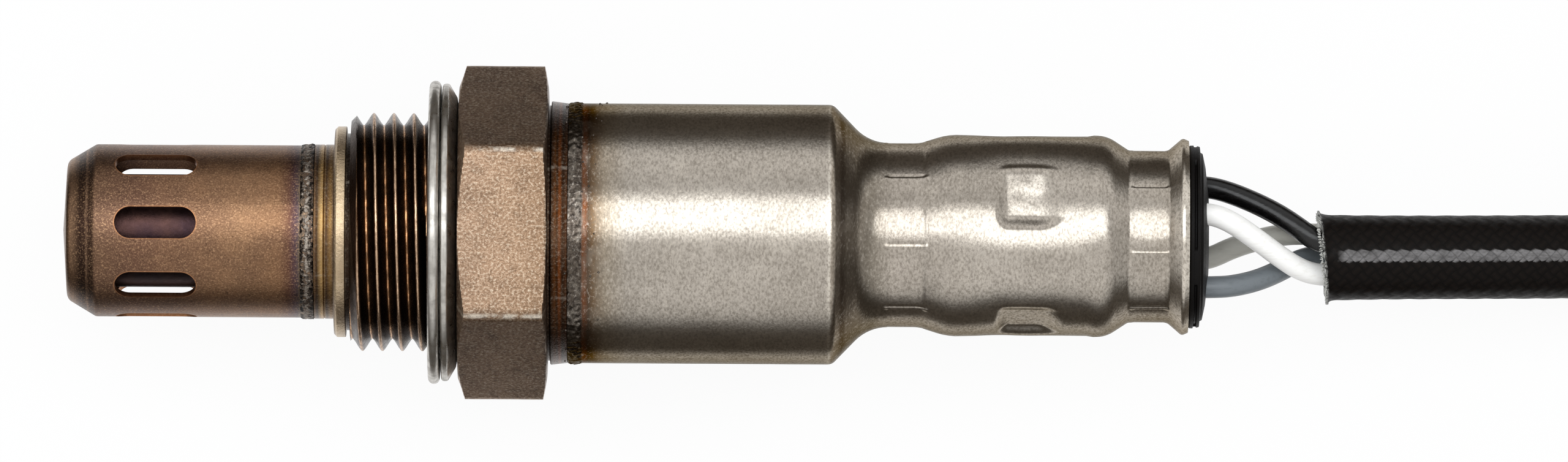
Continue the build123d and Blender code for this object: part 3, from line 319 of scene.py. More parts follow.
class Dressing(Graph):
    """A material being made, with the piece's own coordinates in millimetres."""

    def __init__(self, name: str, **sockets: object) -> None:
        """Starts a material.

        Args:
            name: the finish's name.
            sockets: values of the shader's sockets, with _ for a space.
        """
        self.material = bpy.data.materials.new(name)
        self.material.use_nodes = True
        super().__init__(self.material.node_tree)
        values = {key.replace("_", " "): value for key, value in sockets.items()}
        self.shader = self.add("BsdfPrincipled", links=values)
        self.add("OutputMaterial", self.shader)
        coordinates = self.add("TexCoord").outputs
        self.uv = coordinates["UV"]
        self.place = self.add("VectorMath:SCALE", coordinates["Object"], links={"Scale": 1 / MM})
        self.x, self.y, self.z = self.add("SeparateXYZ", self.place).outputs

    def grit(
        self, size: float, stretch: Corner = (1, 1, 1), detail: float = 3.0, rough: float = 0.55
    ) -> Node:
        """Noise whose spots have a real size.

        Args:
            size: size of a spot in millimetres.
            stretch: how much longer a spot is along X, Y and Z.
            detail: octaves of finer noise.
            rough: strength of the finer noise.

        Returns:
            The noise, about 0.5 in the middle.
        """
        scale = tuple(1 / (size * s) for s in stretch)
        mapped = self.add("Mapping", links={"Vector": self.place, "Scale": scale})
        links = {"Vector": mapped, "Scale": 1.0, "Detail": detail, "Roughness": rough}
        return self.add("TexNoise", links=links)

    def along(self, start: float, end: float, wander: float, stops: Line) -> Node:
        """Colours picked by the place along the axis.

        Args:
            start: x of the ramp's start in millimetres.
            end: x of the ramp's end.
            wander: how far the borders wander, in millimetres.
            stops: (x, colour) in millimetres.

        Returns:
            The colour ramp.
        """
        drift = self.add("Math:MULTIPLY_ADD", self.grit(2.2, (2, 1, 1)), 2 * wander, -wander)
        place = self.add("Math:SUBTRACT", self.add("Math:ADD", self.x, drift), start)
        share = self.add("Math:DIVIDE", place, end - start)
        return self.add("ValToRGB", share, stops=[((x - start) / (end - start), c) for x, c in stops])

    def over(
        self, base: object, colour: object, pattern: object, stops: Line, within: object = None
    ) -> Node:
        """Lays a colour over another where a pattern lets it show.

        Args:
            base: the colour underneath.
            colour: the colour laid over it.
            pattern: the pattern's values.
            stops: ramp from the pattern's values to the colour's share.
            within: where the colour may lie at all, from 0 to 1.

        Returns:
            The mixed colour.
        """
        share = self.add("ValToRGB", pattern, stops=stops)
        if within is not None:
            share = self.add("Math:MULTIPLY", share, within)
        return self.add("Mix", share, base, colour, data_type="RGBA")

    def finish(
        self, colour: object, grain: Node, rough: Corner, relief: Node, depth: float, ease: object = 1.0
    ) -> Material:
        """Ends the material.

        Args:
            colour: the base colour.
            grain: pattern that rules the roughness.
            rough: roughness where the grain is low and where it is high.
            relief: height of the surface, from 0 to 1.
            depth: what a height of 1 is in millimetres.
            ease: what the roughness is multiplied by.

        Returns:
            The material.
        """
        spread = self.add("ValToRGB", grain, stops=[(0.3, rough[0]), (0.7, rough[1])])
        raised = self.add("Bump", links={"Height": relief, "Distance": depth * MM, "Strength": 1.0})
        self.feed(self.shader.inputs["Base Color"], colour)
        self.feed(self.shader.inputs["Roughness"], self.add("Math:MULTIPLY", spread, ease))
        self.feed(self.shader.inputs["Normal"], raised)
        return self.material


@dataclass(frozen=True)
class TurnedShellSteel:
    """Stainless bar, turned and heat tinted: tan grit-blasted hexagon, dark used thread."""

    # Blasted pits scatter the light, so the hexagon looks matt and tan, with pale corners: rubbed nicks and a
    # painted highlight along each. Exhaust heat leaves straw and brown bands on the pilot and on the ring
    # behind the hexagon.
    grain_mm: float = 0.2  # real pits are about 0.05 mm; coarser, so that they show
    hexagon: tuple[float, float] = (2.2, 9.0)
    corner_r: float = 12.7

    def material(self) -> Material:
        """Builds the finish.

        Returns:
            The material.
        """
        d = Dressing("heat_tinted_shell_steel", Metallic=1.0, Roughness=0.42)
        base = d.along(-9.0, 11.0, 0.05, [
            (-8.6, "7c5e40"), (-8.3, "33241b"), (-7.95, "b89560"), (-7.6, "402c1f"), (-7.3, "8c6c40"),
            (-7.05, "6a5540"), (-6.9, "d2bb99"), (-6.25, "bba688"), (-6.1, "231b17"), (0.0, "241c18"),
            (2.2, "1c1613"), (2.3, "9c8069"), (8.7, "94785f"), (9.05, "2a1b14"), (9.35, "2a180c"),
            (9.6, "4c2b11"), (9.72, "180d06"), (9.92, "653412"), (10.12, "1a0e07"), (10.45, "3c200d"),
        ])
        speck = d.grit(self.grain_mm, detail=4.0, rough=0.7)
        cloud = d.grit(3.5)
        patch = d.grit(1.1, rough=0.6)
        behind = d.add("Math:GREATER_THAN", d.x, self.hexagon[0])
        before = d.add("Math:LESS_THAN", d.x, self.hexagon[1])
        blasted = d.add("Math:MULTIPLY_ADD", d.add("Math:MULTIPLY", behind, before), 0.8, 0.2)
        turn = d.add("Math:SUBTRACT", d.add("Math:ARCTAN2", d.y, d.z), math.radians(30))
        arc = d.add("Math:MULTIPLY", d.add("Math:PINGPONG", turn, math.radians(30)), self.corner_r)
        corner = d.add("Math:MULTIPLY", d.add("ValToRGB", arc, stops=[(0.05, 0.8), (0.28, 0.0)]), blasted)
        base = d.over(base, "5d4838", cloud, [(0.38, 0.0), (0.7, 0.4)])
        base = d.over(base, "4b382a", patch, [(0.5, 0.0), (0.7, 0.35)], blasted)
        # Pale patches along each corner: rubbed nicks and a painted highlight.
        base = d.over(base, "efe4d4", patch, [(0.45, 0.0), (0.6, 1.0)], corner)
        base = d.over(base, "e6d8c2", speck, [(0.5, 0.0), (0.68, 0.5)], blasted)
        base = d.over(base, "2e2119", speck, [(0.3, 0.6), (0.5, 0.0)], blasted)
        turned = d.add("Math:MULTIPLY_ADD", blasted, 0.4, 0.6)
        return d.finish(base, speck, (0.27, 0.42), speck, 0.05, turned)


@dataclass(frozen=True)
class UsedThreadSteel:
    """Rolled steel thread after use: near black flanks, with painted glints along the rubbed crests and the
    roots.
    """

    # Soot and oxide hide the metal on the flanks. The bright coppery lines on the rubbed crests and along the
    # roots are painted glints.
    crest_r: float = 8.95
    root_r: float = 8.05
    grain_mm: float = 0.2  # real scale is finer; coarser, so that it shows

    def material(self) -> Material:
        """Builds the finish.

        Returns:
            The material.
        """
        d = Dressing("used_thread_steel", Metallic=1.0, Roughness=0.4)
        square = d.add("Math:ADD", d.add("Math:MULTIPLY", d.y, d.y), d.add("Math:MULTIPLY", d.z, d.z))
        depth = d.add("Math:SUBTRACT", d.add("Math:SQRT", square), self.root_r)
        share = d.add("Math:DIVIDE", depth, self.crest_r - self.root_r)
        # Share 0 is the root's bottom and 1 the crest: their pale stops are painted glints.
        base = d.add("ValToRGB", share, stops=[
            (0.0, "dcb28a"), (0.03, "8f6d50"), (0.08, "3a291f"), (0.86, "3a291f"), (0.94, "8f6e52"),
            (1.0, "d0ae90"),
        ])
        speck = d.grit(self.grain_mm, (1, 2.5, 2.5), 4.0, 0.7)
        base = d.over(base, "15100d", speck, [(0.4, 0.0), (0.7, 0.6)])
        return d.finish(base, speck, (0.2, 0.34), speck, 0.02)


@dataclass(frozen=True)
class RolledGasketSteel:
    """Bright cold-rolled strip with faint drawing lines round the axis."""

    # The rolled face mirrors the room, broken by hair lines and a few dull patches.
    line_mm: float = 0.09  # real rolling lines are about 0.02 mm; coarser, so that they show

    def material(self) -> Material:
        """Builds the finish.

        Returns:
            The material.
        """
        d = Dressing("rolled_gasket_steel", Metallic=1.0, Roughness=0.3)
        lines = d.grit(self.line_mm, (1, 14, 14), 2.0)
        spots = d.grit(0.8)
        base = d.over("cbc7c0", "85807a", spots, [(0.45, 0.0), (0.75, 0.7)])
        base = d.over(base, "8d8880", lines, [(0.35, 0.0), (0.7, 0.4)])
        return d.finish(base, spots, (0.24, 0.42), lines, 0.01)


@dataclass(frozen=True)
class TintedCoverSteel:
    """Thin stainless tube that exhaust heat has turned bronze, with a painted copper highlight round each
    slot.
    """

    # The oxide film tints the mirrored light bronze and violet beside the weld; the cover is near black in
    # the fold before the cone. The copper line round each slot is a painted highlight on its cut edge.
    slot_count: int = 8
    slot_phase: float = 5.6
    slot_centre: float = -20.43
    slot_length: float = 6.13
    slot_width: float = 2.4
    radius: float = 6.475
    grain_mm: float = 0.13  # real grain is about 0.03 mm; coarser, so that it shows

    def edge_distance(self, d: Dressing) -> Node:
        """Distance in millimetres from the nearest slot's edge, over the surface.

        Args:
            d: the material being made.

        Returns:
            The distance, below 0 inside a slot.
        """
        turn = d.add("Math:SUBTRACT", d.add("Math:ARCTAN2", d.y, d.z), math.radians(self.slot_phase))
        wrapped = d.add("Math:PINGPONG", turn, math.pi / self.slot_count)
        arc = d.add("Math:MULTIPLY", wrapped, self.radius)
        run = d.add("Math:ABSOLUTE", d.add("Math:SUBTRACT", d.x, self.slot_centre))
        past = d.add("Math:SUBTRACT", run, (self.slot_length - self.slot_width) / 2)
        over = d.add("Math:MAXIMUM", past, 0.0)
        square = d.add("Math:ADD", d.add("Math:MULTIPLY", arc, arc), d.add("Math:MULTIPLY", over, over))
        return d.add("Math:SUBTRACT", d.add("Math:SQRT", square), self.slot_width / 2)

    def material(self) -> Material:
        """Builds the finish.

        Returns:
            The material.
        """
        d = Dressing("bronze_tinted_cover_steel", Metallic=1.0, Roughness=0.36)
        base = d.along(-27.6, -8.4, 0.14, [
            (-27.5, "80634c"), (-26.7, "8c6e55"), (-26.12, "2a1d16"), (-25.7, "2a1d16"),
            (-25.62, "8a6d56"), (-25.45, "33241b"), (-25.2, "33241b"), (-25.0, "6e5442"),
            (-22.0, "725443"), (-17.0, "86654c"), (-14.0, "8f6d51"), (-11.2, "8b684c"), (-10.4, "6b4a3c"),
            (-10.0, "554047"), (-9.75, "584c50"), (-9.6, "6f6355"), (-8.6, "46403b"),
        ])
        streak = d.grit(0.35, (5, 1, 1), 4.0, 0.7)
        cloud = d.grit(3.0, detail=4.0, rough=0.6)
        speck = d.grit(0.22, rough=0.7)
        grain = d.grit(self.grain_mm, rough=0.7)
        base = d.over(base, "4f3a33", cloud, [(0.35, 0.0), (0.68, 0.45)])
        base = d.over(base, "a98763", streak, [(0.56, 0.0), (0.76, 0.28)])
        base = d.over(base, "33241c", speck, [(0.32, 0.4), (0.46, 0.0)])
        base = d.over(base, "c39c78", grain, [(0.52, 0.0), (0.68, 0.55)])
        base = d.over(base, "4a3529", grain, [(0.32, 0.4), (0.48, 0.0)])
        # Painted highlight: a copper line round each slot's cut edge.
        base = d.over(base, "b98259", self.edge_distance(d), [(0.0, 0.65), (0.05, 0.35), (0.12, 0.0)])
        return d.finish(base, speck, (0.29, 0.42), grain, 0.02)


@dataclass(frozen=True)
class ScaledWeld:
    """Laser weld in thin steel: black oxide scale at its edges, grey metal that breaks through."""

    # The lumpy bead breaks the light into grey glints between matt black flakes.
    front: float = -9.58
    rear: float = -8.6
    grain_mm: float = 0.24

    def material(self) -> Material:
        """Builds the finish.

        Returns:
            The material.
        """
        d = Dressing("scaled_weld_bead", Metallic=1.0, Roughness=0.45)
        middle, half = (self.front + self.rear) / 2, (self.rear - self.front) / 2
        off = d.add("Math:DIVIDE", d.add("Math:ABSOLUTE", d.add("Math:SUBTRACT", d.x, middle)), half)
        speck = d.grit(self.grain_mm, detail=4.0, rough=0.7)
        share = d.add("Math:MULTIPLY_ADD", speck, 1.6, d.add("Math:MULTIPLY", off, -0.45))
        base = d.add("ValToRGB", share, stops=[(0.42, "1a1512"), (0.62, "574e46"), (0.8, "9b9186")])
        return d.finish(base, speck, (0.55, 0.35), speck, 0.08)


@dataclass(frozen=True)
class DrawnCasingSteel:
    """Deep-drawn stainless sleeve: warm grey, fine wavy grain round the axis, heat lines at the weld."""

    # Drawing leaves an orange peel that turns the mirrored room into soft bands along the sleeve. The weld's
    # heat leaves a rust and straw line. The bright line at the drawn corner is a painted highlight, the dark
    # slope behind it painted shade, and the flared lip is lightened as a painted highlight.
    grain_mm: float = 0.17  # real orange peel is about 0.06 mm; coarser, so that it shows
    weld_rear: float = 11.55

    def material(self) -> Material:
        """Builds the finish.

        Returns:
            The material.
        """
        d = Dressing("drawn_casing_steel", Metallic=1.0, Roughness=0.34, Specular_Tint="a39d93")
        base = d.along(10.2, 57.4, 0.14, [
            (10.5, "4f4740"), (11.4, "524a43"), (11.58, "2c1a10"), (11.76, "8a4d22"), (11.92, "3a2415"),
            # 30.1 is a painted highlight on the drawn corner.
            (12.4, "6b5237"), (13.3, "a39684"), (15.0, "b7afa4"), (29.9, "b9b1a6"), (30.1, "e4dccf"),
            # 30.9 to 33.4: painted shade on the slope behind the corner, darkest at 31.1.
            (30.3, "a3988a"), (30.9, "7d7266"), (31.1, "43362b"), (31.35, "786e62"), (33.4, "8f877b"),
            # 56.4 and 57.2: a painted highlight on the flared lip.
            (35.0, "b6ada2"), (41.0, "b9b1a6"), (52.9, "b9b1a6"), (55.6, "ada498"), (56.4, "d9d0c3"),
            (57.2, "e2dacd"),
        ])
        grain = d.grit(self.grain_mm, (1, 1.7, 1.7), 4.0, 0.65)
        wave = d.grit(0.9, (1, 2, 2), 2.0)
        cloud = d.grit(5.0, (1.6, 1, 1), 4.0, 0.6)
        speck = d.grit(0.3, detail=4.0, rough=0.75)
        weld = d.add("Math:LESS_THAN", d.x, self.weld_rear)
        base = d.over(base, "7d7468", cloud, [(0.38, 0.0), (0.7, 0.4)])
        base = d.over(base, "d6cdbf", wave, [(0.5, 0.0), (0.72, 0.2)])
        base = d.over(base, "655c51", grain, [(0.36, 0.5), (0.52, 0.0)])
        base = d.over(base, "e0d8cc", grain, [(0.54, 0.0), (0.68, 0.3)])
        base = d.over(base, "211b17", speck, [(0.4, 0.65), (0.54, 0.0)], weld)
        base = d.over(base, "a39b90", speck, [(0.58, 0.0), (0.68, 0.55)], weld)
        base = d.over(base, "5a5147", speck, [(0.68, 0.0), (0.8, 0.45)])
        return d.finish(base, grain, (0.27, 0.21), grain, 0.012)


@dataclass(frozen=True)
class MouldedRubber:
    """Moulded black rubber: satin, with dust caught in its fine pores."""

    # Carbon black swallows most light; a weak, wide sheen and brownish dust are all that show.
    colour: str = "0a0807"
    dust: str = "1c1815"
    pore_mm: float = 0.12

    def material(self) -> Material:
        """Builds the finish.

        Returns:
            The material.
        """
        d = Dressing("moulded_black_rubber", Roughness=0.5, Specular_IOR_Level=0.12)
        pores = d.grit(self.pore_mm)
        base = d.over(self.colour, self.dust, d.grit(1.6), [(0.5, 0.0), (0.8, 0.35)])
        return d.finish(base, pores, (0.44, 0.6), pores, 0.012)


@dataclass(frozen=True)
class WireInsulation:
    """Extruded insulation: smooth, with a soft gloss and faint drawn marks along the wire."""

    # The die leaves a smooth skin, so each wire has one soft bright line along its top.
    name: str
    colour: str
    mark: str
    roughness: float
    mark_mm: float = 0.25

    def material(self) -> Material:
        """Builds the finish.

        Returns:
            The material.
        """
        d = Dressing(f"wire_insulation_{self.name}", Roughness=self.roughness, IOR=1.46)
        marks = d.grit(self.mark_mm, (7, 1, 1))
        base = d.over(self.colour, self.mark, marks, [(0.52, 0.0), (0.75, 0.5)])
        return d.finish(base, marks, (self.roughness - 0.06, self.roughness + 0.1), marks, 0.01)


@dataclass(frozen=True)
class BraidedGlassSleeve:
    """Varnished glass-fibre braid: near black and tight, with a painted grey highlight along its top."""

    # The varnish fills the braid, so little shows but the white cut ends and a grey line along the top, which
    # is a painted highlight.
    cell_mm: float = 1.0  # real strands are about 0.5 mm wide; coarser, so that they show
    highlight_half_mm: float = 0.44
    thread_mm: float = 0.16  # real fibres are about 0.01 mm; coarser, so that they show

    def strands(self, d: Dressing, run: NodeSocket, arc: NodeSocket) -> Node:
        """Height of two crossing sets of strands that pass over and under each other.

        Args:
            d: the material being made.
            run: place along the sleeve, in millimetres.
            arc: place round it, in millimetres.

        Returns:
            The height, from 0 to 1.
        """
        scaled, lean = (d.add("Math:DIVIDE", value, self.cell_mm) for value in (run, arc))
        one, two = d.add("Math:ADD", scaled, lean), d.add("Math:SUBTRACT", scaled, lean)
        parity = d.add("Math:ADD", d.add("Math:FLOOR", one), d.add("Math:FLOOR", two))
        over = d.add("Math:FLOORED_MODULO", parity, 2.0)
        first, second = (d.add("Math:PINGPONG", value, 0.5) for value in (one, two))
        return d.add("Math:MULTIPLY", d.add("Mix", over, first, second), 2.0)

    def material(self) -> Material:
        """Builds the finish.

        Returns:
            The material.
        """
        d = Dressing("braided_glass_sleeve", Roughness=0.4, Specular_IOR_Level=0.08)
        fray = d.add("Attribute", attribute_name="fray").outputs["Fac"]
        run, arc, _ = d.add("SeparateXYZ", d.uv).outputs
        height = self.strands(d, run, arc)
        wear = d.grit(1.3, (2, 1, 1), 4.0, 0.7)
        threads = d.grit(self.thread_mm, (2, 1, 1), 2.0)
        hollow = d.add("Math:MULTIPLY", d.add("Math:SUBTRACT", 1.0, height), 0.16)
        # Painted highlight: a grey line along the top, its edge and start broken up by the wear noise.
        off_line = d.add("Math:ADD", d.add("Math:ABSOLUTE", d.add("Math:ADD", arc, 0.12)), hollow)
        past = d.add("Math:SUBTRACT", off_line, self.highlight_half_mm)
        begun = d.add("Math:MULTIPLY_ADD", wear, -1.2, run)
        line = d.add("ValToRGB", past, stops=[(0.0, 1.0), (0.12, 0.0)])
        start = d.add("ValToRGB", begun, stops=[(0.4, 0.0), (0.95, 1.0)])
        # The hollows between strands are painted darker, as shade, on the braid and in its highlight.
        strand = d.add("ValToRGB", height, stops=[(0.0, "060403"), (1.0, "120d0a")])
        lit = d.add("Mix", threads, "474545", "858383", data_type="RGBA")
        lit = d.over(lit, "2e2c2b", height, [(0.0, 0.45), (0.4, 0.0)])
        painted_highlight = d.add("Math:MULTIPLY", line, start)
        base = d.over(strand, lit, wear, [(0.3, 0.45), (0.6, 1.0)], painted_highlight)
        base = d.over(base, "c4c4bf", threads, [(0.42, 0.15), (0.56, 1.0)], fray)
        return d.finish(base, threads, (0.3, 0.5), height, 0.014)


@dataclass(frozen=True)
class PlainFinish:
    """A finish that needs only its colour, its second tone and its grain."""

    name: str
    colour: str
    second: str
    roughness: float
    metallic: float = 0.0
    grain_mm: float = 0.3
    depth_mm: float = 0.015

    def material(self) -> Material:
        """Builds the finish.

        Returns:
            The material.
        """
        d = Dressing(self.name, Metallic=self.metallic, Roughness=self.roughness)
        grain = d.grit(self.grain_mm, detail=4.0, rough=0.65)
        base = d.over(self.colour, self.second, d.grit(self.grain_mm * 9), [(0.35, 0.0), (0.7, 0.7)])
        base = d.over(base, self.second, grain, [(0.55, 0.0), (0.75, 0.3)])
        return d.finish(base, grain, (self.roughness * 0.85, self.roughness * 1.2), grain, self.depth_mm)


class Stock(Enum):
    """Finishes of the pieces that stay as the solid model has them, and of small parts."""

    # Dull violet brown, which leaves the slots dark.
    INNER_COVER = PlainFinish("dark_tinted_inner_cover", "3b2c30", "5a4038", 0.4, 1.0)
    # Small grey balls with one glint each.
    BEAD = PlainFinish("steel_spatter_bead", "6d655d", "2c2622", 0.42, 1.0, 0.22, 0.05)
    # Bright grey with soft reflections.
    STRIP = PlainFinish("spring_steel_strip", "a8a49c", "7d786f", 0.32, 1.0)
    # Pale yellowish metal under a satin tin skin.
    PLATED = PlainFinish("tin_plated_bronze", "c4b896", "94875f", 0.34, 1.0)
    # Cream white, dense and faintly glossy.
    ZIRCONIA = PlainFinish("fired_zirconia", "d9d4c6", "b9b2a2", 0.55)
    # Matt cream ceramic.
    STEATITE = PlainFinish("unglazed_steatite", "d6d0c2", "c0b8a6", 0.6)
    # Chalky grey, without gloss.
    TALC = PlainFinish("pressed_talc", "c8c6be", "aba89f", 0.8)
    # Black with a broad satin sheen.
    NYLON = PlainFinish("black_nylon", "19191a", "2a2a2c", 0.45)
    # Black, with the fine grain that glass fibres give the mould face.
    PLUG = PlainFinish("glass_filled_polyamide", "1d1d1f", "2b2b2e", 0.5, 0.0, 0.2, 0.02)
    # Grey and waxy.
    LOCK = PlainFinish("grey_acetal", "8c8d90", "77787b", 0.45)
    # Rust-red rubber with a dull shine.
    SEAL = PlainFinish("silicone_seal", "a5502a", "8c4020", 0.5)


class Finishes:
    """Builds each stock finish once."""

    def __init__(self) -> None:
        """Starts with none built."""
        self.built: dict[Stock, Material] = {}

    def get(self, stock: Stock) -> Material:
        """The material of a stock finish.

        Args:
            stock: the finish.

        Returns:
            Its material.
        """
        if stock not in self.built:
            self.built[stock] = stock.value.material()
        return self.built[stock]

    def dress(self, stock: Stock, *nodes: str) -> None:
        """Gives nodes of the solid model a stock finish.

        Args:
            stock: the finish.
            nodes: the nodes' names.
        """
        for node in nodes:
            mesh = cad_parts[node].data
            mesh.materials.clear()
            mesh.materials.append(self.get(stock))
            LOG.info("%s: %s", node, stock.value.name)


def smooth_copy(node: str, material: Material, slot: str, bevel: float = 0.0) -> None:
    """Replaces a node by a merged, smooth copy of itself.

    Args:
        node: the node's name.
        material: its finish.
        slot: the record's material slot.
        bevel: rounding of its sharp edges in millimetres, or 0.
    """
    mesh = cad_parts[node].data.copy()
    mesh.name = f"{node}_mesh"
    work = bmesh.new()
    work.from_mesh(mesh)
    bmesh.ops.remove_doubles(work, verts=work.verts, dist=1e-6)
    bmesh.ops.dissolve_limit(work, angle_limit=math.radians(0.5), verts=work.verts, edges=work.edges)
    if bevel:
        edges = [e for e in work.edges if len(e.link_faces) == 2 and e.calc_face_angle(0) > 0.6]
        bmesh.ops.bevel(
            work, geom=edges, offset=bevel * MM, segments=2, profile=0.5, affect="EDGES", clamp_overlap=True
        )
    work.to_mesh(mesh)
    work.free()
    place_piece(f"{node}_piece", mesh, material, slot, node)


# ---------------------------------------------------------------- rule-driven pieces


class Rule(Graph):
    """A Geometry Nodes tree with named inputs, applied once to give a plain mesh."""

    def __init__(self, name: str, sizes: dict[str, float]) -> None:
        """Starts a tree with named inputs and their values, in millimetres.

        Args:
            name: the tree's name.
            sizes: names and values of its inputs.
        """
        super().__init__(bpy.data.node_groups.new(name, "GeometryNodeTree"))
        self.name, self.sizes = name, sizes
        interface = self.tree.interface
        interface.new_socket("Geometry", in_out="OUTPUT", socket_type="NodeSocketGeometry")
        for size in sizes:
            interface.new_socket(size, in_out="INPUT", socket_type="NodeSocketFloat")
        self.size = self.add("NodeGroupInput").outputs

    def chances(self, *seeds: int) -> list[Node]:
        """Random values from 0 to 1, one for each fixed seed."""
        kind = "FunctionNodeRandomValue"
        return [self.add(kind, links={"Seed": seed}, data_type="FLOAT") for seed in seeds]

    def polar(self, x: object, radius: object, turn: object, centre: Corner = (0.0, 0.0)) -> Node:
        """Place in metres, from x, a radius and a turn about a line along X.

        Args:
            x: place along X in millimetres.
            radius: distance from the line in millimetres.
            turn: angle from +Z towards +Y in radians.
            centre: the line's y and z in millimetres.

        Returns:
            The place as a vector.
        """
        spot = [x]
        for middle, wave in zip(centre, ("SINE", "COSINE")):
            reach = self.add("Math:MULTIPLY", radius, self.add(f"Math:{wave}", turn))
            spot.append(self.add("Math:ADD", middle, reach))
        return self.add("VectorMath:SCALE", self.add("CombineXYZ", *spot), links={"Scale": MM})

    def scatter(self, count: int, place: Node, item: Node, **links: object) -> Node:
        """Puts an item on a number of points, scaled or turned by further links."""
        points = self.add("GeometryNodePoints", count, place)
        return self.add("GeometryNodeInstanceOnPoints", links={"Points": points, "Instance": item, **links})

    def bake(self, geometry: Node, material: Material) -> Mesh:
        """Ends the tree with a geometry and its finish, and gives the result as a plain mesh.

        Args:
            geometry: what the tree makes.
            material: its finish.

        Returns:
            The mesh, in metres.
        """
        real = self.add("GeometryNodeRealizeInstances", geometry)
        painted = self.add("GeometryNodeSetMaterial", real, links={"Material": material})
        self.add("NodeGroupOutput", painted)
        holder = bpy.data.objects.new(self.name, bpy.data.meshes.new(self.name))
        bpy.context.scene.collection.objects.link(holder)
        modifier = holder.modifiers.new(self.name, "NODES")
        modifier.node_group = self.tree
        for item in self.tree.interface.items_tree:
            if item.in_out == "INPUT":
                modifier[item.identifier] = float(self.sizes[item.name])
        evaluated = holder.evaluated_get(bpy.context.evaluated_depsgraph_get())
        mesh = bpy.data.meshes.new_from_object(evaluated)
        bpy.data.objects.remove(holder)
        return mesh


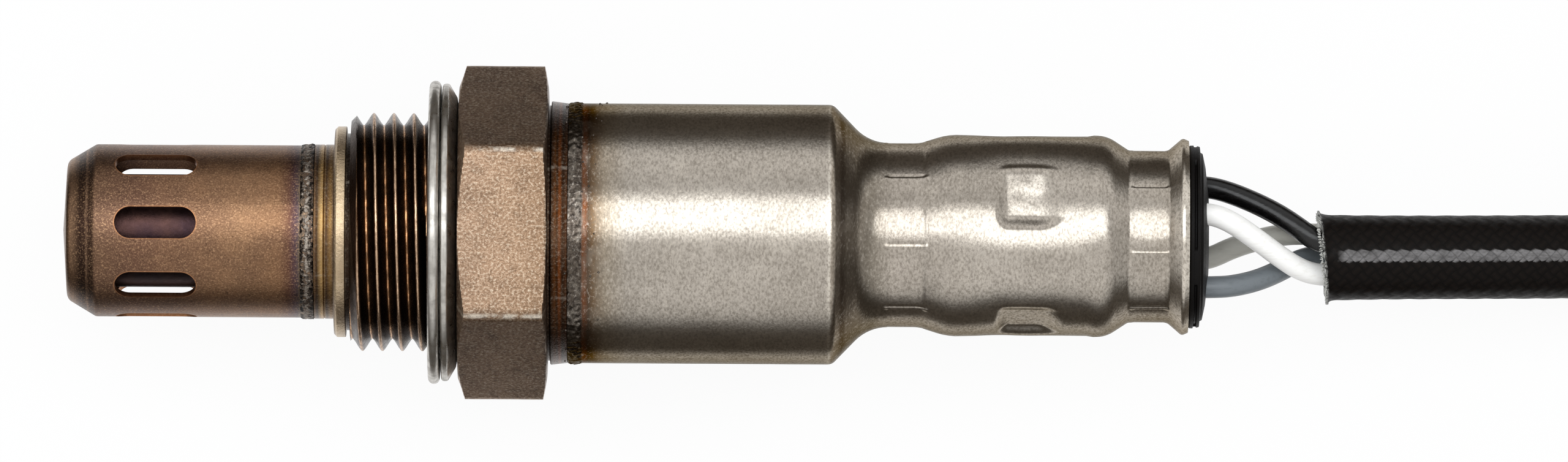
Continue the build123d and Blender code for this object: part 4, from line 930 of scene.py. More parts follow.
@dataclass
class ThreadedBody:
    """The shell with its thread, hexagon and rings, and the folded gasket behind the thread."""

    thread_r: float = 8.95
    thread_depth: float = 0.92
    pitch: float = 1.5
    thread_front: float = -5.86
    thread_start_r: float = 8.33
    crest_at_top: float = -0.8  # x of a crest on the +Z side
    thread_floor_r: float = 7.94
    thread_rows: int = 124
    thread_step: float = 0.048
    thread_columns: int = 385
    crest_share: float = 0.07  # of half a pitch that is flat at the crest
    root_share: float = 0.96  # of half a pitch where the root begins
    curved_share: float = 0.2  # of a flank's slope that is rounded at both ends
    across_flats: float = 22.0
    hex_front: float = 2.25
    hex_rear: float = 8.98
    corner_r: float = 1.1
    hex_floor_r: float = 10.0  # nothing inside this radius is cut to the hexagon
    wear: float = 0.02
    segments: int = 480
    outline: Line = (
        (-12.0, 3.95), (-12.0, 5.93, 0.15), (-8.58, 5.93), (-8.58, 6.55, 0.08), (-7.86, 6.55),
        (-7.8, 6.49), (-7.74, 6.55), (-7.06, 6.55, 0.08), (-7.06, 7.7, 0.05), (-6.83, 7.925, 0.08),
        (-6.18, 7.925, 0.07), (-6.18, 7.4, 0.05), (-5.84, 7.4, 0.05), (-5.84, 7.95), (-0.02, 7.95),
        (-0.02, 7.85), (2.25, 7.85, 0.1), (2.25, 10.7), (2.27, 11.0), (2.55, 11.76), (2.79, 12.53),
        (4.0, 13.0), (8.0, 13.0), (8.68, 12.53), (8.83, 11.76), (8.96, 11.0), (8.98, 10.7),
        (8.98, 9.6, 0.05), (9.2, 9.6, 0.05), (9.2, 9.92, 0.1), (10.5, 9.76, 0.06), (10.5, 9.19),
        (12.6, 9.19, 0.6), (12.6, 6.4, 0.1), (11.8, 6.4), (11.8, 7.4), (2.6, 7.4), (2.6, 5.8),
        (-5.86, 5.8), (-5.86, 3.95),
    )
    spans: Line = ((2.25, 2.8, 0.1), (2.8, 8.68, 0.6), (8.68, 8.98, 0.08))
    gasket: Line = (
        (0.02, 8.45), (0.02, 11.4, 0.42), (0.88, 11.4, 0.42), (0.9, 9.6, 0.05), (0.98, 9.6, 0.05),
        (1.0, 11.2, 0.26), (1.5, 11.18, 0.22), (2.1, 10.15, 0.2), (2.23, 9.4, 0.2), (2.23, 8.95, 0.15),
        (1.4, 8.95, 0.1), (1.4, 8.6, 0.1), (0.5, 8.45, 0.1),
    )

    def hexagon(self, turn: Array) -> Array:
        """Radius of the hexagon with its rounded corners, at angles with one flat up.

        Args:
            turn: angles from +Z towards +Y, in radians.

        Returns:
            The radii, in millimetres.
        """
        flat, lean = self.across_flats / 2, math.cos(math.radians(30))
        side, corner = from_centre(turn, 0.0, 60.0), from_centre(turn, 30.0, 60.0)
        centre = (flat - self.corner_r) / lean
        limit = math.atan2(self.corner_r * 0.5, centre + self.corner_r * lean)
        inside = np.maximum(self.corner_r**2 - (centre * np.sin(corner)) ** 2, 0)
        arc = centre * np.cos(corner) + np.sqrt(inside)
        return np.where(np.abs(corner) < limit, arc, flat / np.cos(side))

    def shape(self, x: Array, radius: Array, turn: Array) -> Array:
        """Cuts the turned blank to the hexagon, with faint wear, between its end chamfers.

        Args:
            x: places along the axis, in millimetres.
            radius: the blank's radii there, in millimetres.
            turn: angles from +Z towards +Y, in radians.

        Returns:
            The new radii, in millimetres.
        """
        on_hex = (x >= self.hex_front) & (x <= self.hex_rear) & (radius > self.hex_floor_r)
        worn = self.wear * lumps(x, turn, 12.0, size=2.5, seed=3.0)
        return np.where(on_hex, np.minimum(radius, self.hexagon(turn) + worn), radius)

    def thread_mesh(self, material: Material) -> Mesh:
        """The right-hand thread, its depth ruled by the turn and the place along the axis.

        Args:
            material: its finish.

        Returns:
            The mesh, in metres.
        """
        rule = Rule(
            "thread_rule",
            {
                "Crest radius": self.thread_r,
                "Depth": self.thread_depth,
                "Pitch": self.pitch,
                "Front": self.thread_front,
                "Start radius": self.thread_start_r,
                "Crest at top": self.crest_at_top,
                "Floor radius": self.thread_floor_r,
            },
        )
        add, size = rule.add, rule.size
        rows, hair = self.thread_rows, 0.001
        length = (rows - 1) * self.thread_step
        grid = add("GeometryNodeMeshGrid", length, 2 * math.pi, rows, self.thread_columns)
        place = add("SeparateXYZ", add("GeometryNodeInputPosition")).outputs
        free = add("Math:ADD", place[0], self.thread_front / 2)
        x = add("Math:MINIMUM", add("Math:MAXIMUM", free, size["Front"]), -hair)
        ahead = add("Math:DIVIDE", add("Math:SUBTRACT", x, size["Crest at top"]), size["Pitch"])
        phase = add("Math:ADD", ahead, add("Math:DIVIDE", place[1], 2 * math.pi))
        away = add("Math:MULTIPLY", add("Math:PINGPONG", phase, 0.5), 2.0)
        flank = {"Value": away, "From Min": self.crest_share, "From Max": self.root_share}
        curved = add("MapRange", links=flank, interpolation_type="SMOOTHERSTEP")
        straight = add("MapRange", links=flank)
        rest = add("Math:MULTIPLY", straight, 1 - self.curved_share)
        cut = add("Math:MULTIPLY_ADD", curved, self.curved_share, rest)
        full = add("Math:SUBTRACT", size["Crest radius"], add("Math:MULTIPLY", cut, size["Depth"]))
        lead_in = add("Math:ADD", size["Start radius"], add("Math:SUBTRACT", x, size["Front"]))
        radius = add("Math:MINIMUM", full, lead_in)
        front_edge = add("Math:LESS_THAN", free, add("Math:SUBTRACT", size["Front"], hair))
        edge = add("Math:MAXIMUM", front_edge, add("Math:GREATER_THAN", free, hair))
        sunk = {"Value": edge, "To Min": radius, "To Max": size["Floor radius"]}
        spot = rule.polar(x, add("MapRange", links=sunk), place[1])
        moved = add("GeometryNodeSetPosition", grid, links={"Position": spot})
        joined = add("GeometryNodeMergeByDistance", moved, links={"Distance": 1e-7})
        return rule.bake(joined, material)

    def build(self) -> None:
        """Makes the shell, its thread and the gasket."""
        line = densified(rounded(self.outline, arc_step=18.0), self.spans)
        mesh = lathe("shell_body", line, self.segments, self.shape)
        place_piece("shell_body", mesh, TurnedShellSteel().material(), "shell_steel", "shell", sharp=28)
        used = UsedThreadSteel().material()
        place_piece("shell_thread", self.thread_mesh(used), used, "shell_steel", sharp=40)
        mesh = lathe("folded_gasket", rounded(self.gasket, arc_step=12.0), 240)
        bright = RolledGasketSteel().material()
        place_piece("folded_gasket", mesh, bright, "gasket_steel", "crush_gasket", sharp=40)


@dataclass
class TipCovers:
    """The slotted outer cover with its weld bead, and the inner cover behind the slots."""

    segments: int = 540
    spacing: float = 0.07
    skin_r: float = 6.3  # what lies past this radius is the bead's outer face
    lump: float = 0.06  # height of the bead's lumps
    bead: Line = (
        (-9.58, 6.2), (-9.58, 6.48), (-9.43, 6.53), (-9.18, 6.56), (-8.9, 6.57), (-8.6, 6.55), (-8.6, 6.2),
    )

    def bead_shape(self, x: Array, radius: Array, turn: Array) -> Array:
        """Lumps of the weld bead's outer face."""
        rough = lumps(x, turn, 6.5, size=0.3, seed=9.0) + 0.6 * lumps(x, turn, 6.5, size=0.14, seed=4.0)
        return np.where(radius > self.skin_r, radius + self.lump * rough, radius)

    def build(self, finishes: Finishes) -> None:
        """Makes both covers and the bead.

        Args:
            finishes: the stock finishes.
        """
        smooth_copy("outer_cover", TintedCoverSteel().material(), "cover_steel")
        smooth_copy("inner_cover", finishes.get(Stock.INNER_COVER), "inner_cover_steel")
        line = densified(self.bead, [(-10.0, -8.0, self.spacing)])
        mesh = lathe("cover_weld", line, self.segments, self.bead_shape)
        place_piece("cover_weld", mesh, ScaledWeld().material(), "cover_steel", sharp=50)


@dataclass
class DrawnCasing:
    """The drawn sleeve with its weld, four punched dimples, two crimped necks and flared lip."""

    wall: float = 0.55
    weld_front: float = 10.52
    weld_rear: float = 11.6
    dimple_front: float = 42.45
    dimple_rear: float = 47.9
    dimple_floor: float = 6.62
    dimple_half_width: float = 2.95
    dimple_tilts: tuple[float, float, float, float] = (0.17, -0.03, 0.05, 0.06)
    front_run: float = 1.15  # length of a dimple's front wall
    rear_run: float = 2.1
    side_run: float = 1.35
    tilt_lift: float = 1.6  # how far a floor tilted by 1 stands out
    crumple: float = 0.03
    sag: float = 0.3  # how far the sheet round a dimple is drawn in
    sag_reach: float = 2.1  # how far out, in lengths of the dimple's wall
    bulge: tuple[float, float] = (40.0, 50.0)
    bulge_r: float = 7.6
    bore_below: float = 7.3  # what lies inside this radius is the bulge's inner face
    bulge_floor_r: float = 6.4
    crimps: Line = ((34.4, 37.4, -7.2), (52.85, 55.5, -11.2))  # (from x, to x, degrees)
    jaws: int = 8
    neck_r: float = 6.8
    jaw_edge: float = 0.22
    ridge: tuple[float, float] = (0.025, 0.08)  # (height, half width)
    groove: tuple[float, float, float] = (0.03, 0.2, 0.1)  # (depth, place, half width)
    nub: tuple[float, float] = (0.06, 0.16)  # (height, half width)
    pressed: tuple[float, float] = (0.03, 0.014)  # (depth, how much it varies across a jaw)
    ripples: int = 96
    weld_rise: tuple[float, float, float] = (0.07, 0.015, 0.07)  # of the crown, a ripple and a lump
    weld_r: float = 9.8
    skin_r: float = 6.42  # what lies past this radius is the sleeve's outer face
    segments: int = 450
    outer: Line = (
        (10.52, 9.77), (30.37, 9.77, 0.8), (33.11, 6.935, 3.4), (36.92, 6.935, 3.0), (38.92, 7.56, 5.0),
        (45.2, 7.7, 40.0), (50.97, 7.56, 2.4), (52.62, 6.475, 0.5), (55.57, 6.475, 0.5),
        (56.67, 7.42, 0.3), (57.13, 7.22, 0.15),
    )
    inner: Line = (
        (57.13, 6.8), (55.8, 5.93, 0.3), (52.4, 5.93, 1.1), (50.8, 7.01, 1.9), (45.2, 7.15, 40.0),
        (39.0, 7.01, 4.4), (37.0, 6.385, 3.5), (32.9, 6.385, 3.9), (30.15, 9.22, 0.3), (10.52, 9.22),
    )
    outer_spans: Line = (
        (10.5, 11.7, 0.1), (11.7, 30.0, 1.5), (34.1, 34.8, 0.1), (34.8, 37.1, 0.4), (37.1, 37.7, 0.1),
        (40.5, 42.3, 0.4), (42.3, 43.7, 0.11), (43.7, 45.7, 0.33), (45.7, 48.0, 0.19), (48.0, 50.0, 0.5),
        (52.7, 53.1, 0.1), (53.1, 55.2, 0.4), (55.2, 55.7, 0.1),
    )
    inner_spans: Line = ((42.3, 48.0, 0.4),)

    def dimples(self, x: Array, radius: Array, turn: Array) -> Array:
        """Presses the four dimples in: steep in front, gentle behind, flat floors.

        Args:
            x: places along the axis, in millimetres.
            radius: the blank's radii there, in millimetres.
            turn: angles from +Z towards +Y, in radians.

        Returns:
            The new radii, in millimetres.
        """
        near = from_centre(turn, CLOCKING, 90.0)
        arc = np.abs(near) * self.bulge_r
        ahead = (self.dimple_front + self.front_run - x) / self.front_run
        behind = (x - self.dimple_rear + self.rear_run) / self.rear_run
        across = (arc - self.dimple_half_width + self.side_run) / self.side_run
        along = np.maximum(np.maximum(ahead, behind), 0)
        away = np.sqrt(along**2 + np.maximum(across, 0) ** 2)
        press = 1 - smoothstep(0.0, 1.0, away)
        which = np.floor((turn - math.radians(CLOCKING - 45)) / math.radians(90)).astype(int) % 4
        tilt = np.array(self.dimple_tilts)[which]
        seat = self.dimple_floor + tilt * near * self.dimple_floor + self.tilt_lift * np.abs(tilt)
        seat = seat + self.crumple * lumps(x, turn, 7.0, size=1.2, seed=11.0)
        floor = (seat - np.where(radius < self.bore_below, self.wall, 0.0)) / np.cos(near)
        pressed = radius + (np.minimum(floor, radius) - radius) * press
        sag = self.sag * np.exp(-((away / self.sag_reach) ** 2)) * (1 - press)
        on_bulge = (x > self.bulge[0]) & (x < self.bulge[1]) & (radius > self.bulge_floor_r)
        return np.where(on_bulge, pressed - sag, radius)

    def crimp(self, x: Array, radius: Array, turn: Array, front: float, rear: float, phase: float) -> Array:
        """Marks of eight crimping jaws: a shallow pressed band, faint ridges and small nubs.

        Args:
            x: places along the axis, in millimetres.
            radius: the blank's radii there, in millimetres.
            turn: angles from +Z towards +Y, in radians.
            front: x where the jaws' band starts.
            rear: x where it ends.
            phase: angle of one ridge in degrees.

        Returns:
            What the radii gain, in millimetres.
        """
        (high, half), (deep, place, spread), (nub, size) = self.ridge, self.groove, self.nub
        arc = from_centre(turn, phase, 360 / self.jaws) * self.neck_r
        run = self.jaw_edge
        inside = smoothstep(front, front + run, x) * (1 - smoothstep(rear - run, rear, x))
        ridge = high * np.exp(-((arc / half) ** 2)) - deep * np.exp(-(((arc - place) / spread) ** 2))
        ends = sum(np.exp(-(((x - end) / size) ** 2) - (arc / size) ** 2) for end in (front, rear))
        faces = self.pressed[1] * np.cos(self.jaws * (turn - math.radians(phase))) - self.pressed[0]
        return np.where(radius > self.skin_r, inside * (ridge + faces) + nub * ends, 0.0)

    def weld(self, x: Array, radius: Array, turn: Array) -> Array:
        """Rippled bead over the joint with the shell.

        Args:
            x: places along the axis, in millimetres.
            radius: the blank's radii there, in millimetres.
            turn: angles from +Z towards +Y, in radians.

        Returns:
            What the radii gain, in millimetres.
        """
        middle, half = (self.weld_front + self.weld_rear) / 2, (self.weld_rear - self.weld_front) / 2
        crown = np.clip(1 - ((x - middle) / half) ** 2, 0, 1)
        ripple = 0.5 + 0.5 * np.cos(self.ripples * turn + 1.5 * ((x - middle) / half) ** 2)
        rough = lumps(x, turn, self.weld_r, size=0.3, seed=5.0)
        rough = rough + 0.6 * lumps(x, turn, self.weld_r, size=0.15, seed=8.0)
        high, wavy, lumpy = self.weld_rise
        bead = crown * (high + wavy * ripple) + lumpy * rough * np.clip(crown * 3, 0, 1)
        return np.where((x < self.weld_rear + 0.05) & (radius > 9.5), bead, 0.0)

    def shape(self, x: Array, radius: Array, turn: Array) -> Array:
        """Radii of the whole sleeve.

        Args:
            x: places along the axis, in millimetres.
            radius: the blank's radii there, in millimetres.
            turn: angles from +Z towards +Y, in radians.

        Returns:
            The new radii, in millimetres.
        """
        shaped = self.dimples(x, radius, turn)
        drawn = 0.01 * lumps(x, turn, 8.0, size=2.6, seed=2.0)
        drawn = drawn + 0.004 * lumps(x, turn, 8.0, size=0.7, seed=6.0)
        shaped = shaped + np.where(radius > self.skin_r, drawn, 0.0)
        for front, rear, phase in self.crimps:
            shaped = shaped + self.crimp(x, radius, turn, front, rear, phase)
        return shaped + self.weld(x, radius, turn)

    def build(self) -> None:
        """Makes the sleeve."""
        line = densified(rounded(self.outer, arc_step=6.0, closed=False), self.outer_spans)
        line += densified(rounded(self.inner, arc_step=15.0, closed=False), self.inner_spans)
        mesh = lathe("drawn_casing", line, self.segments, self.shape)
        place_piece("drawn_casing", mesh, DrawnCasingSteel().material(), "casing_steel", "casing", sharp=38)


@dataclass
class WeldSpatter:
    """Small beads thrown off the weld round the casing's front edge."""

    count: int = 70
    front: float = 10.3
    rear: float = 13.4
    radius: float = 9.77
    largest: float = 0.11
    smallest_share: float = 0.35
    crowding: float = 1.8  # power that gathers the beads towards the weld

    def build(self, material: Material) -> None:
        """Scatters the beads over the band by rule.

        Args:
            material: the beads' finish.
        """
        rule = Rule(
            "spatter_rule",
            {"Front": self.front, "Rear": self.rear, "Radius": self.radius, "Largest": self.largest},
        )
        add, size = rule.add, rule.size
        far, round_it, big = rule.chances(3, 8, 14)
        reach = add("Math:SUBTRACT", size["Rear"], size["Front"])
        gone = add("Math:MULTIPLY", add("Math:POWER", far, self.crowding), reach)
        x = add("Math:ADD", size["Front"], gone)
        place = rule.polar(x, size["Radius"], add("Math:MULTIPLY", round_it, 2 * math.pi))
        more = add("Math:MULTIPLY", big, 1 - self.smallest_share)
        share = add("Math:ADD", self.smallest_share, more)
        scale = add("Math:MULTIPLY", size["Largest"], share)
        beads = rule.scatter(self.count, place, add("GeometryNodeMeshIcoSphere", MM, 2), Scale=scale)
        place_piece("weld_spatter", rule.bake(beads, material), material, "casing_steel", sharp=180)


@dataclass
class Grommet:
    """The rubber grommet: a domed face, and a grooved rim with tabs between the wires."""

    tab_half: float = 12.5  # degrees
    tab_edge: float = 1.5
    rim_r: float = 6.84
    groove: tuple[float, float, float] = (57.48, 57.9, 6.2)  # (from x, to x, past this radius)
    segments: int = 480
    outline: Line = (
        (51.25, 0.0), (51.25, 5.9, 0.4), (57.15, 5.9), (57.15, 6.87, 0.15), (57.5, 6.88, 0.05),
        (57.53, 6.5, 0.05), (57.7, 6.5, 0.05), (57.73, 6.84, 0.06), (57.96, 6.78, 0.06),
        (58.0, 6.35, 0.06), (58.18, 6.25, 0.06), (58.4, 5.2, 0.8), (58.64, 3.0), (58.7, 0.0),
    )

    def shape(self, x: Array, radius: Array, turn: Array) -> Array:
        """Fills the rim's groove at the tabs between the wires.

        Args:
            x: places along the axis, in millimetres.
            radius: the blank's radii there, in millimetres.
            turn: angles from +Z towards +Y, in radians.

        Returns:
            The new radii, in millimetres.
        """
        near = np.abs(np.degrees(from_centre(turn, CLOCKING + 45, 90.0)))
        fill = 1 - smoothstep(self.tab_half - self.tab_edge, self.tab_half + self.tab_edge, near)
        front, rear, floor_r = self.groove
        groove = (x > front) & (x < rear) & (radius > floor_r)
        return np.where(groove, radius + (self.rim_r - radius) * fill, radius)

    def build(self) -> None:
        """Makes the grommet."""
        mesh = lathe("wire_grommet", rounded(self.outline, closed=False), self.segments, self.shape)
        place_piece("wire_grommet", mesh, MouldedRubber().material(), "grommet_rubber", "grommet", sharp=35)


# ---------------------------------------------------------------- wires, sleeve and plug


def spline_points(name: str, points: Line, resolution: int) -> Array:
    """Reads a smooth line through a route's control points.

    Args:
        name: name of the curve it is read from.
        points: control points in millimetres.
        resolution: points between each two control points.

    Returns:
        Points on the line, in millimetres.
    """
    curve = bpy.data.curves.new(name, "CURVE")
    curve.dimensions = "3D"
    curve.resolution_u = resolution
    spline = curve.splines.new("NURBS")
    spline.points.add(len(points) - 1)
    for point, place in zip(spline.points, points):
        point.co = (*(v * MM for v in place), 1.0)
    spline.order_u = 3
    spline.use_endpoint_u = True
    holder = bpy.data.objects.new(name, curve)
    mesh = bpy.data.meshes.new_from_object(holder)
    line = np.array([v.co for v in mesh.vertices]) / MM
    bpy.data.objects.remove(holder)
    bpy.data.meshes.remove(mesh)
    return line


def lengths(line: Array) -> Array:
    """Length along a line at each of its points."""
    return np.r_[0, np.cumsum(np.linalg.norm(np.diff(line, axis=0), axis=1))]


def read_at(places: Array, stations: Array, values: Array) -> Array:
    """Vectors at places between stations."""
    return np.stack([np.interp(places, stations, values[:, k]) for k in range(3)], -1)


def resampled(line: Array, spacing: float) -> Array:
    """Points evenly spaced along a line, in millimetres."""
    steps = lengths(line)
    return read_at(np.linspace(0, steps[-1], max(2, round(steps[-1] / spacing) + 1)), steps, line)


def carried_frames(line: Array) -> tuple[Array, Array, Array]:
    """Tangent, first side and second side at each point of a line, carried without twist.

    Args:
        line: points on the line, evenly spaced.

    Returns:
        Three arrays of unit vectors.
    """
    tangent = np.gradient(line, axis=0)
    tangent /= np.linalg.norm(tangent, axis=1)[:, None]
    side = np.zeros_like(tangent)
    carried = np.array([0.0, 0.0, 1.0])
    for i, ahead in enumerate(tangent):
        carried = carried - ahead * ahead.dot(carried)
        side[i] = carried = carried / np.linalg.norm(carried)
    return tangent, side, np.cross(tangent, side)


@dataclass(frozen=True)
class Wire:
    """One insulated wire: its look, its place in the grommet and its way into the sleeve."""

    name: str
    finish: WireInsulation
    slot: str
    place: tuple[float, float]
    route: Line
    straight: tuple[float, ...] = (33.6, 45.0, 57.4)  # x of the points inside the sensor
    spacing: float = 0.35

    def line(self) -> Array:
        """The wire's line, straight through the grommet and then bent into the sleeve."""
        points = [*((x, *self.place) for x in self.straight), *self.route]
        return resampled(spline_points(f"{self.name}_line", points, 12), self.spacing)


@dataclass
class Wires:
    """The four wires that leave the grommet and gather into the sleeve."""

    radius: float = 0.825
    sides: int = 28
    wires: tuple[Wire, ...] = (
        Wire(
            "white_front", WireInsulation("white", "f8f7f4", "dedbd2", 0.34), "wire_white", (1.74, 3.77),
            (
                (58.9, 1.72, 3.74), (60.4, 1.1, 3.4), (62.3, -0.2, 2.5), (64.0, -1.45, 1.4),
                (65.5, -2.4, 0.45), (67.0, -2.83, -0.2), (70.0, -2.85, -0.6), (75.2, -2.77, -1.3),
            ),
        ),
        Wire(
            "black", WireInsulation("black", "080707", "100f0f", 0.22), "wire_black", (3.77, -1.74),
            (
                (58.9, 3.75, -1.72), (60.9, 3.15, -1.4), (63.5, 1.98, -0.7), (65.3, 0.83, 0.0),
                (67.0, -0.45, 0.35), (70.0, -0.5, 0.0), (75.2, -0.45, -0.75),
            ),
        ),
        Wire(
            # Same white insulation as the front wire; its greyer colour is painted shade.
            "white_back", WireInsulation("shaded_white", "c3c1b8", "a9a79e", 0.36), "wire_white",
            (-1.74, -3.77),
            (
                (58.9, -1.6, -3.77), (60.4, -0.85, -3.6), (62.0, -0.3, -3.2), (63.8, 0.14, -2.6),
                (65.4, 0.3, -1.95), (67.0, 0.22, -1.5), (70.0, 0.22, -1.85), (75.2, 0.25, -2.55),
            ),
        ),
        Wire(
            "grey", WireInsulation("grey", "70767a", "575d61", 0.34), "wire_grey", (-3.77, 1.74),
            (
                (58.9, -3.77, 1.72), (60.4, -3.7, 1.3), (62.3, -3.27, 0.3), (64.0, -2.55, -0.9),
                (65.6, -1.65, -2.0), (67.0, -1.35, -2.6), (70.0, -1.3, -3.0), (75.2, -1.25, -3.75),
            ),
        ),
    )

    def build(self) -> dict[str, Material]:
        """Makes the wires and their finishes.

        Returns:
            The finishes by the wires' names.
        """
        made = {}
        for wire in self.wires:
            line = wire.line()
            _, side, over = carried_frames(line)
            turn = np.linspace(0, 2 * math.pi, self.sides, endpoint=False)[None, :, None]
            ring = side[:, None] * np.cos(turn) + over[:, None] * np.sin(turn)
            mesh = grid_mesh(wire.name, line[:, None] + self.radius * ring, False, ends=True)
            made[wire.name] = wire.finish.material()
            name, node = f"lead_wire_{wire.name}", f"wire_{wire.name}"
            place_piece(name, mesh, made[wire.name], wire.slot, node, sharp=60)
        return made


@dataclass
class Lead:
    """The braided sleeve from its open end, along the floor, through its tied hank, to the plug."""

    radius: float = 3.14
    bore: float = 2.7
    bore_depth: float = 7.5
    end_depth: float = 5.5
    ring_spacing: float = 0.26
    sides: int = 72
    strand: float = 1.0
    around: int = 20
    relief: float = 0.035
    mouth_lean: float = 0.1
    mouth_set_back: float = -0.135
    mouth_forward: float = 0.42
    mouth_reach: float = 2.0  # how far along the sleeve its mouth's slant fades out
    flares: Line = ((0.1, 3.0), (0.18, 0.25))  # (height, how far along it fades out)
    ragged: tuple[float, float] = (0.1, 0.3)
    fray_edge: tuple[float, float] = (0.03, 0.14)  # from this far behind the rim, over this length
    loop_centre: tuple[float, float] = (228.0, 4.4)
    loop_r: float = 19.5
    floor_z: float = -8.2
    fall: Line = ((66.85, -1.5, -0.9), (77.0, -1.42, -2.3), (88.0, -1.3, -5.7))
    # (x, y) of the run on the floor to the hank's loop, and of the run back to the plug
    out_run: Line = (
        (98.5, -1.15), (109.0, -1.0), (121.0, -0.4), (133.0, 0.7), (142.0, 1.2), (150.0, 1.2),
        (164.0, 1.2), (179.0, -2.2), (199.0, -8.6),
    )
    back_run: Line = (
        (199.0, 17.4), (179.0, 11.0), (164.0, 7.6), (150.0, 7.6), (143.0, 7.6), (136.0, 9.4), (129.0, 12.9),
    )

    def route(self) -> list[Corner]:
        """Control points of the whole sleeve, with the hank's loop.

        Returns:
            Points (x, y, z), in millimetres.
        """
        (cx, cy), turns = self.loop_centre, [math.radians(d) for d in range(-110, 111, 20)]
        loop = [(cx + self.loop_r * math.cos(a), cy + self.loop_r * math.sin(a)) for a in turns]
        return [*self.fall, *((x, y, self.floor_z) for x, y in (*self.out_run, *loop, *self.back_run))]

    def weave(self, run: Array, turn: Array) -> Array:
        """Height of the braid: two crossing sets of strands that pass over and under each other.

        Args:
            run: places along the sleeve, in millimetres.
            turn: angles round it, in radians.

        Returns:
            Heights from 0 to 1.
        """
        one = run / (2 * self.strand) + turn * self.around / (2 * math.pi) / 2
        two = run / (2 * self.strand) - turn * self.around / (2 * math.pi) / 2
        over = (np.floor(one) + np.floor(two)) % 2 == 0
        first, second = (np.abs(np.sin(math.pi * way)) ** 0.7 for way in (one, two))
        top = np.where(over, first * (0.55 + 0.45 * second), second * (0.55 + 0.45 * first))
        return np.clip(top, 0, 1)

    def rim(self, turn: Array, radius: object) -> Array:
        """Place along the sleeve of its slanted mouth."""
        lean = self.mouth_set_back * np.cos(turn) + self.mouth_lean * np.sin(turn)
        return self.mouth_forward + lean * radius

    def rings(self, length: float) -> Array:
        """Rings as (place along the sleeve, radius), from one bore round to the other.

        Args:
            length: the sleeve's length in millimetres.

        Returns:
            One row for each ring.
        """
        count, lip = round(length / self.ring_spacing), self.bore + 0.05
        rings = [(self.bore_depth * (1 - t), self.bore) for t in (0.0, 0.3, 0.6, 0.9)]
        rings += [(0.0, lip), (0.0, self.radius + 0.1), (0.07, self.radius + 0.02), (0.16, self.radius)]
        rings += [(length * k / count, self.radius) for k in range(1, count)]
        rings += [(length, self.radius), (length, lip)]
        rings += [(length - self.end_depth * t, self.bore) for t in (0.1, 0.5, 1.0)]
        return np.array([(self.bore_depth, 0.0), *rings, (length - self.end_depth, 0.0)])

    def build(self) -> None:
        line = spline_points("lead_line", self.route(), 16)
        steps = lengths(line)
        length = float(steps[-1])
        run, ring_r = self.rings(length).T
        centres = read_at(run, steps, line)
        even = resampled(line, 0.5)
        _, side, over = carried_frames(even)
        where = run / length * (len(even) - 1)
        first, second = (read_at(where, np.arange(len(even)), way) for way in (side, over))
        turn = np.linspace(0, 2 * math.pi, self.sides, endpoint=False)
        places, turns = np.meshgrid(run, turn, indexing="ij")
        radius = np.repeat(ring_r[:, None], len(turn), axis=1)
        outside = radius > self.bore + 0.2
        height = np.where(outside, self.weave(places, turns), 0.0)
        flare = sum(high * np.exp(-places / fade) for high, fade in self.flares) * outside
        ragged = self.ragged[0] * np.sin(turns * 17 + 2 * np.sin(turns * 5))
        ragged = ragged * np.exp(-places / self.ragged[1])
        ragged += self.rim(turns, radius) * np.exp(-places / self.mouth_reach)
        reach = radius + np.where(height > 0, (height - 0.55) * self.relief, 0.0) + flare
        around = first[:, None] * np.cos(turns)[..., None] + second[:, None] * np.sin(turns)[..., None]
        points = centres[:, None] + reach[..., None] * around
        points[..., 0] += np.where(radius > 0.1, ragged, 0.0)
        mesh = grid_mesh("braided_sleeve", points, loop_rows=False)
        self.mark(mesh, line, length)
        nodes = ("lead_sleeve", "lead_hank", "lead_tail")
        woven = BraidedGlassSleeve().material()
        sleeve = place_piece("braided_sleeve", mesh, woven, "sleeve_weave", *nodes, sharp=75)
        LOG.info("lead length %.1f mm", length)
        on_lead = ["hank_tie_piece", "plug_housing_piece", "plug_lock", "plug_seal_piece"]
        for wire in WIRE_NAMES:
            on_lead += [f"tail_wire_{wire}_piece", f"terminal_{wire}", f"wire_seal_{wire}"]
        tuple(v * MM for v in self.fall[0])
        [tuple(p * MM) for p in resampled(line, 2.0)]

    def mark(self, mesh: Mesh, line: Array, length: float) -> None:
        """Stores the frayed ends and a map along and round the sleeve.

        Args:
            mesh: the sleeve's mesh.
            line: points on its centre line.
            length: the line's length.
        """
        spots = np.array([v.co for v in mesh.vertices]) / MM
        even = resampled(line, 0.2)
        tangent, side, over = carried_frames(even)
        nearest = np.empty(len(spots), int)
        for part in np.array_split(np.arange(len(spots)), len(spots) // 4000 + 1):
            nearest[part] = np.linalg.norm(spots[part, None] - even[None], axis=2).argmin(axis=1)
        off = spots - even[nearest]
        run = nearest * length / (len(even) - 1) + (off * tangent[nearest]).sum(1)
        turn = np.arctan2((off * over[nearest]).sum(1), (off * side[nearest]).sum(1))
        past_rim = np.minimum(run - self.rim(turn, self.radius) - self.fray_edge[0], length - run)
        fray = np.clip(1 - past_rim / self.fray_edge[1], 0, 1)
        fray = fray * (np.linalg.norm(off, axis=1) > self.bore - 0.1)
        layer = mesh.attributes.new("fray", "FLOAT", "POINT")
        layer.data.foreach_set("value", fray.astype(np.float32))
        owners = np.empty(len(mesh.loops), int)
        mesh.loops.foreach_get("vertex_index", owners)
        starts, totals = np.empty(len(mesh.polygons), int), np.empty(len(mesh.polygons), int)
        mesh.polygons.foreach_get("loop_start", starts)
        mesh.polygons.foreach_get("loop_total", totals)
        corner_turn = turn[owners]
        highest = np.repeat(np.maximum.reduceat(corner_turn, starts), totals)
        corner_turn = corner_turn + np.where(highest - corner_turn > math.pi, 2 * math.pi, 0.0)
        arc = corner_turn * self.around / (2 * math.pi)
        layer = mesh.uv_layers.new(name="run_and_turn")
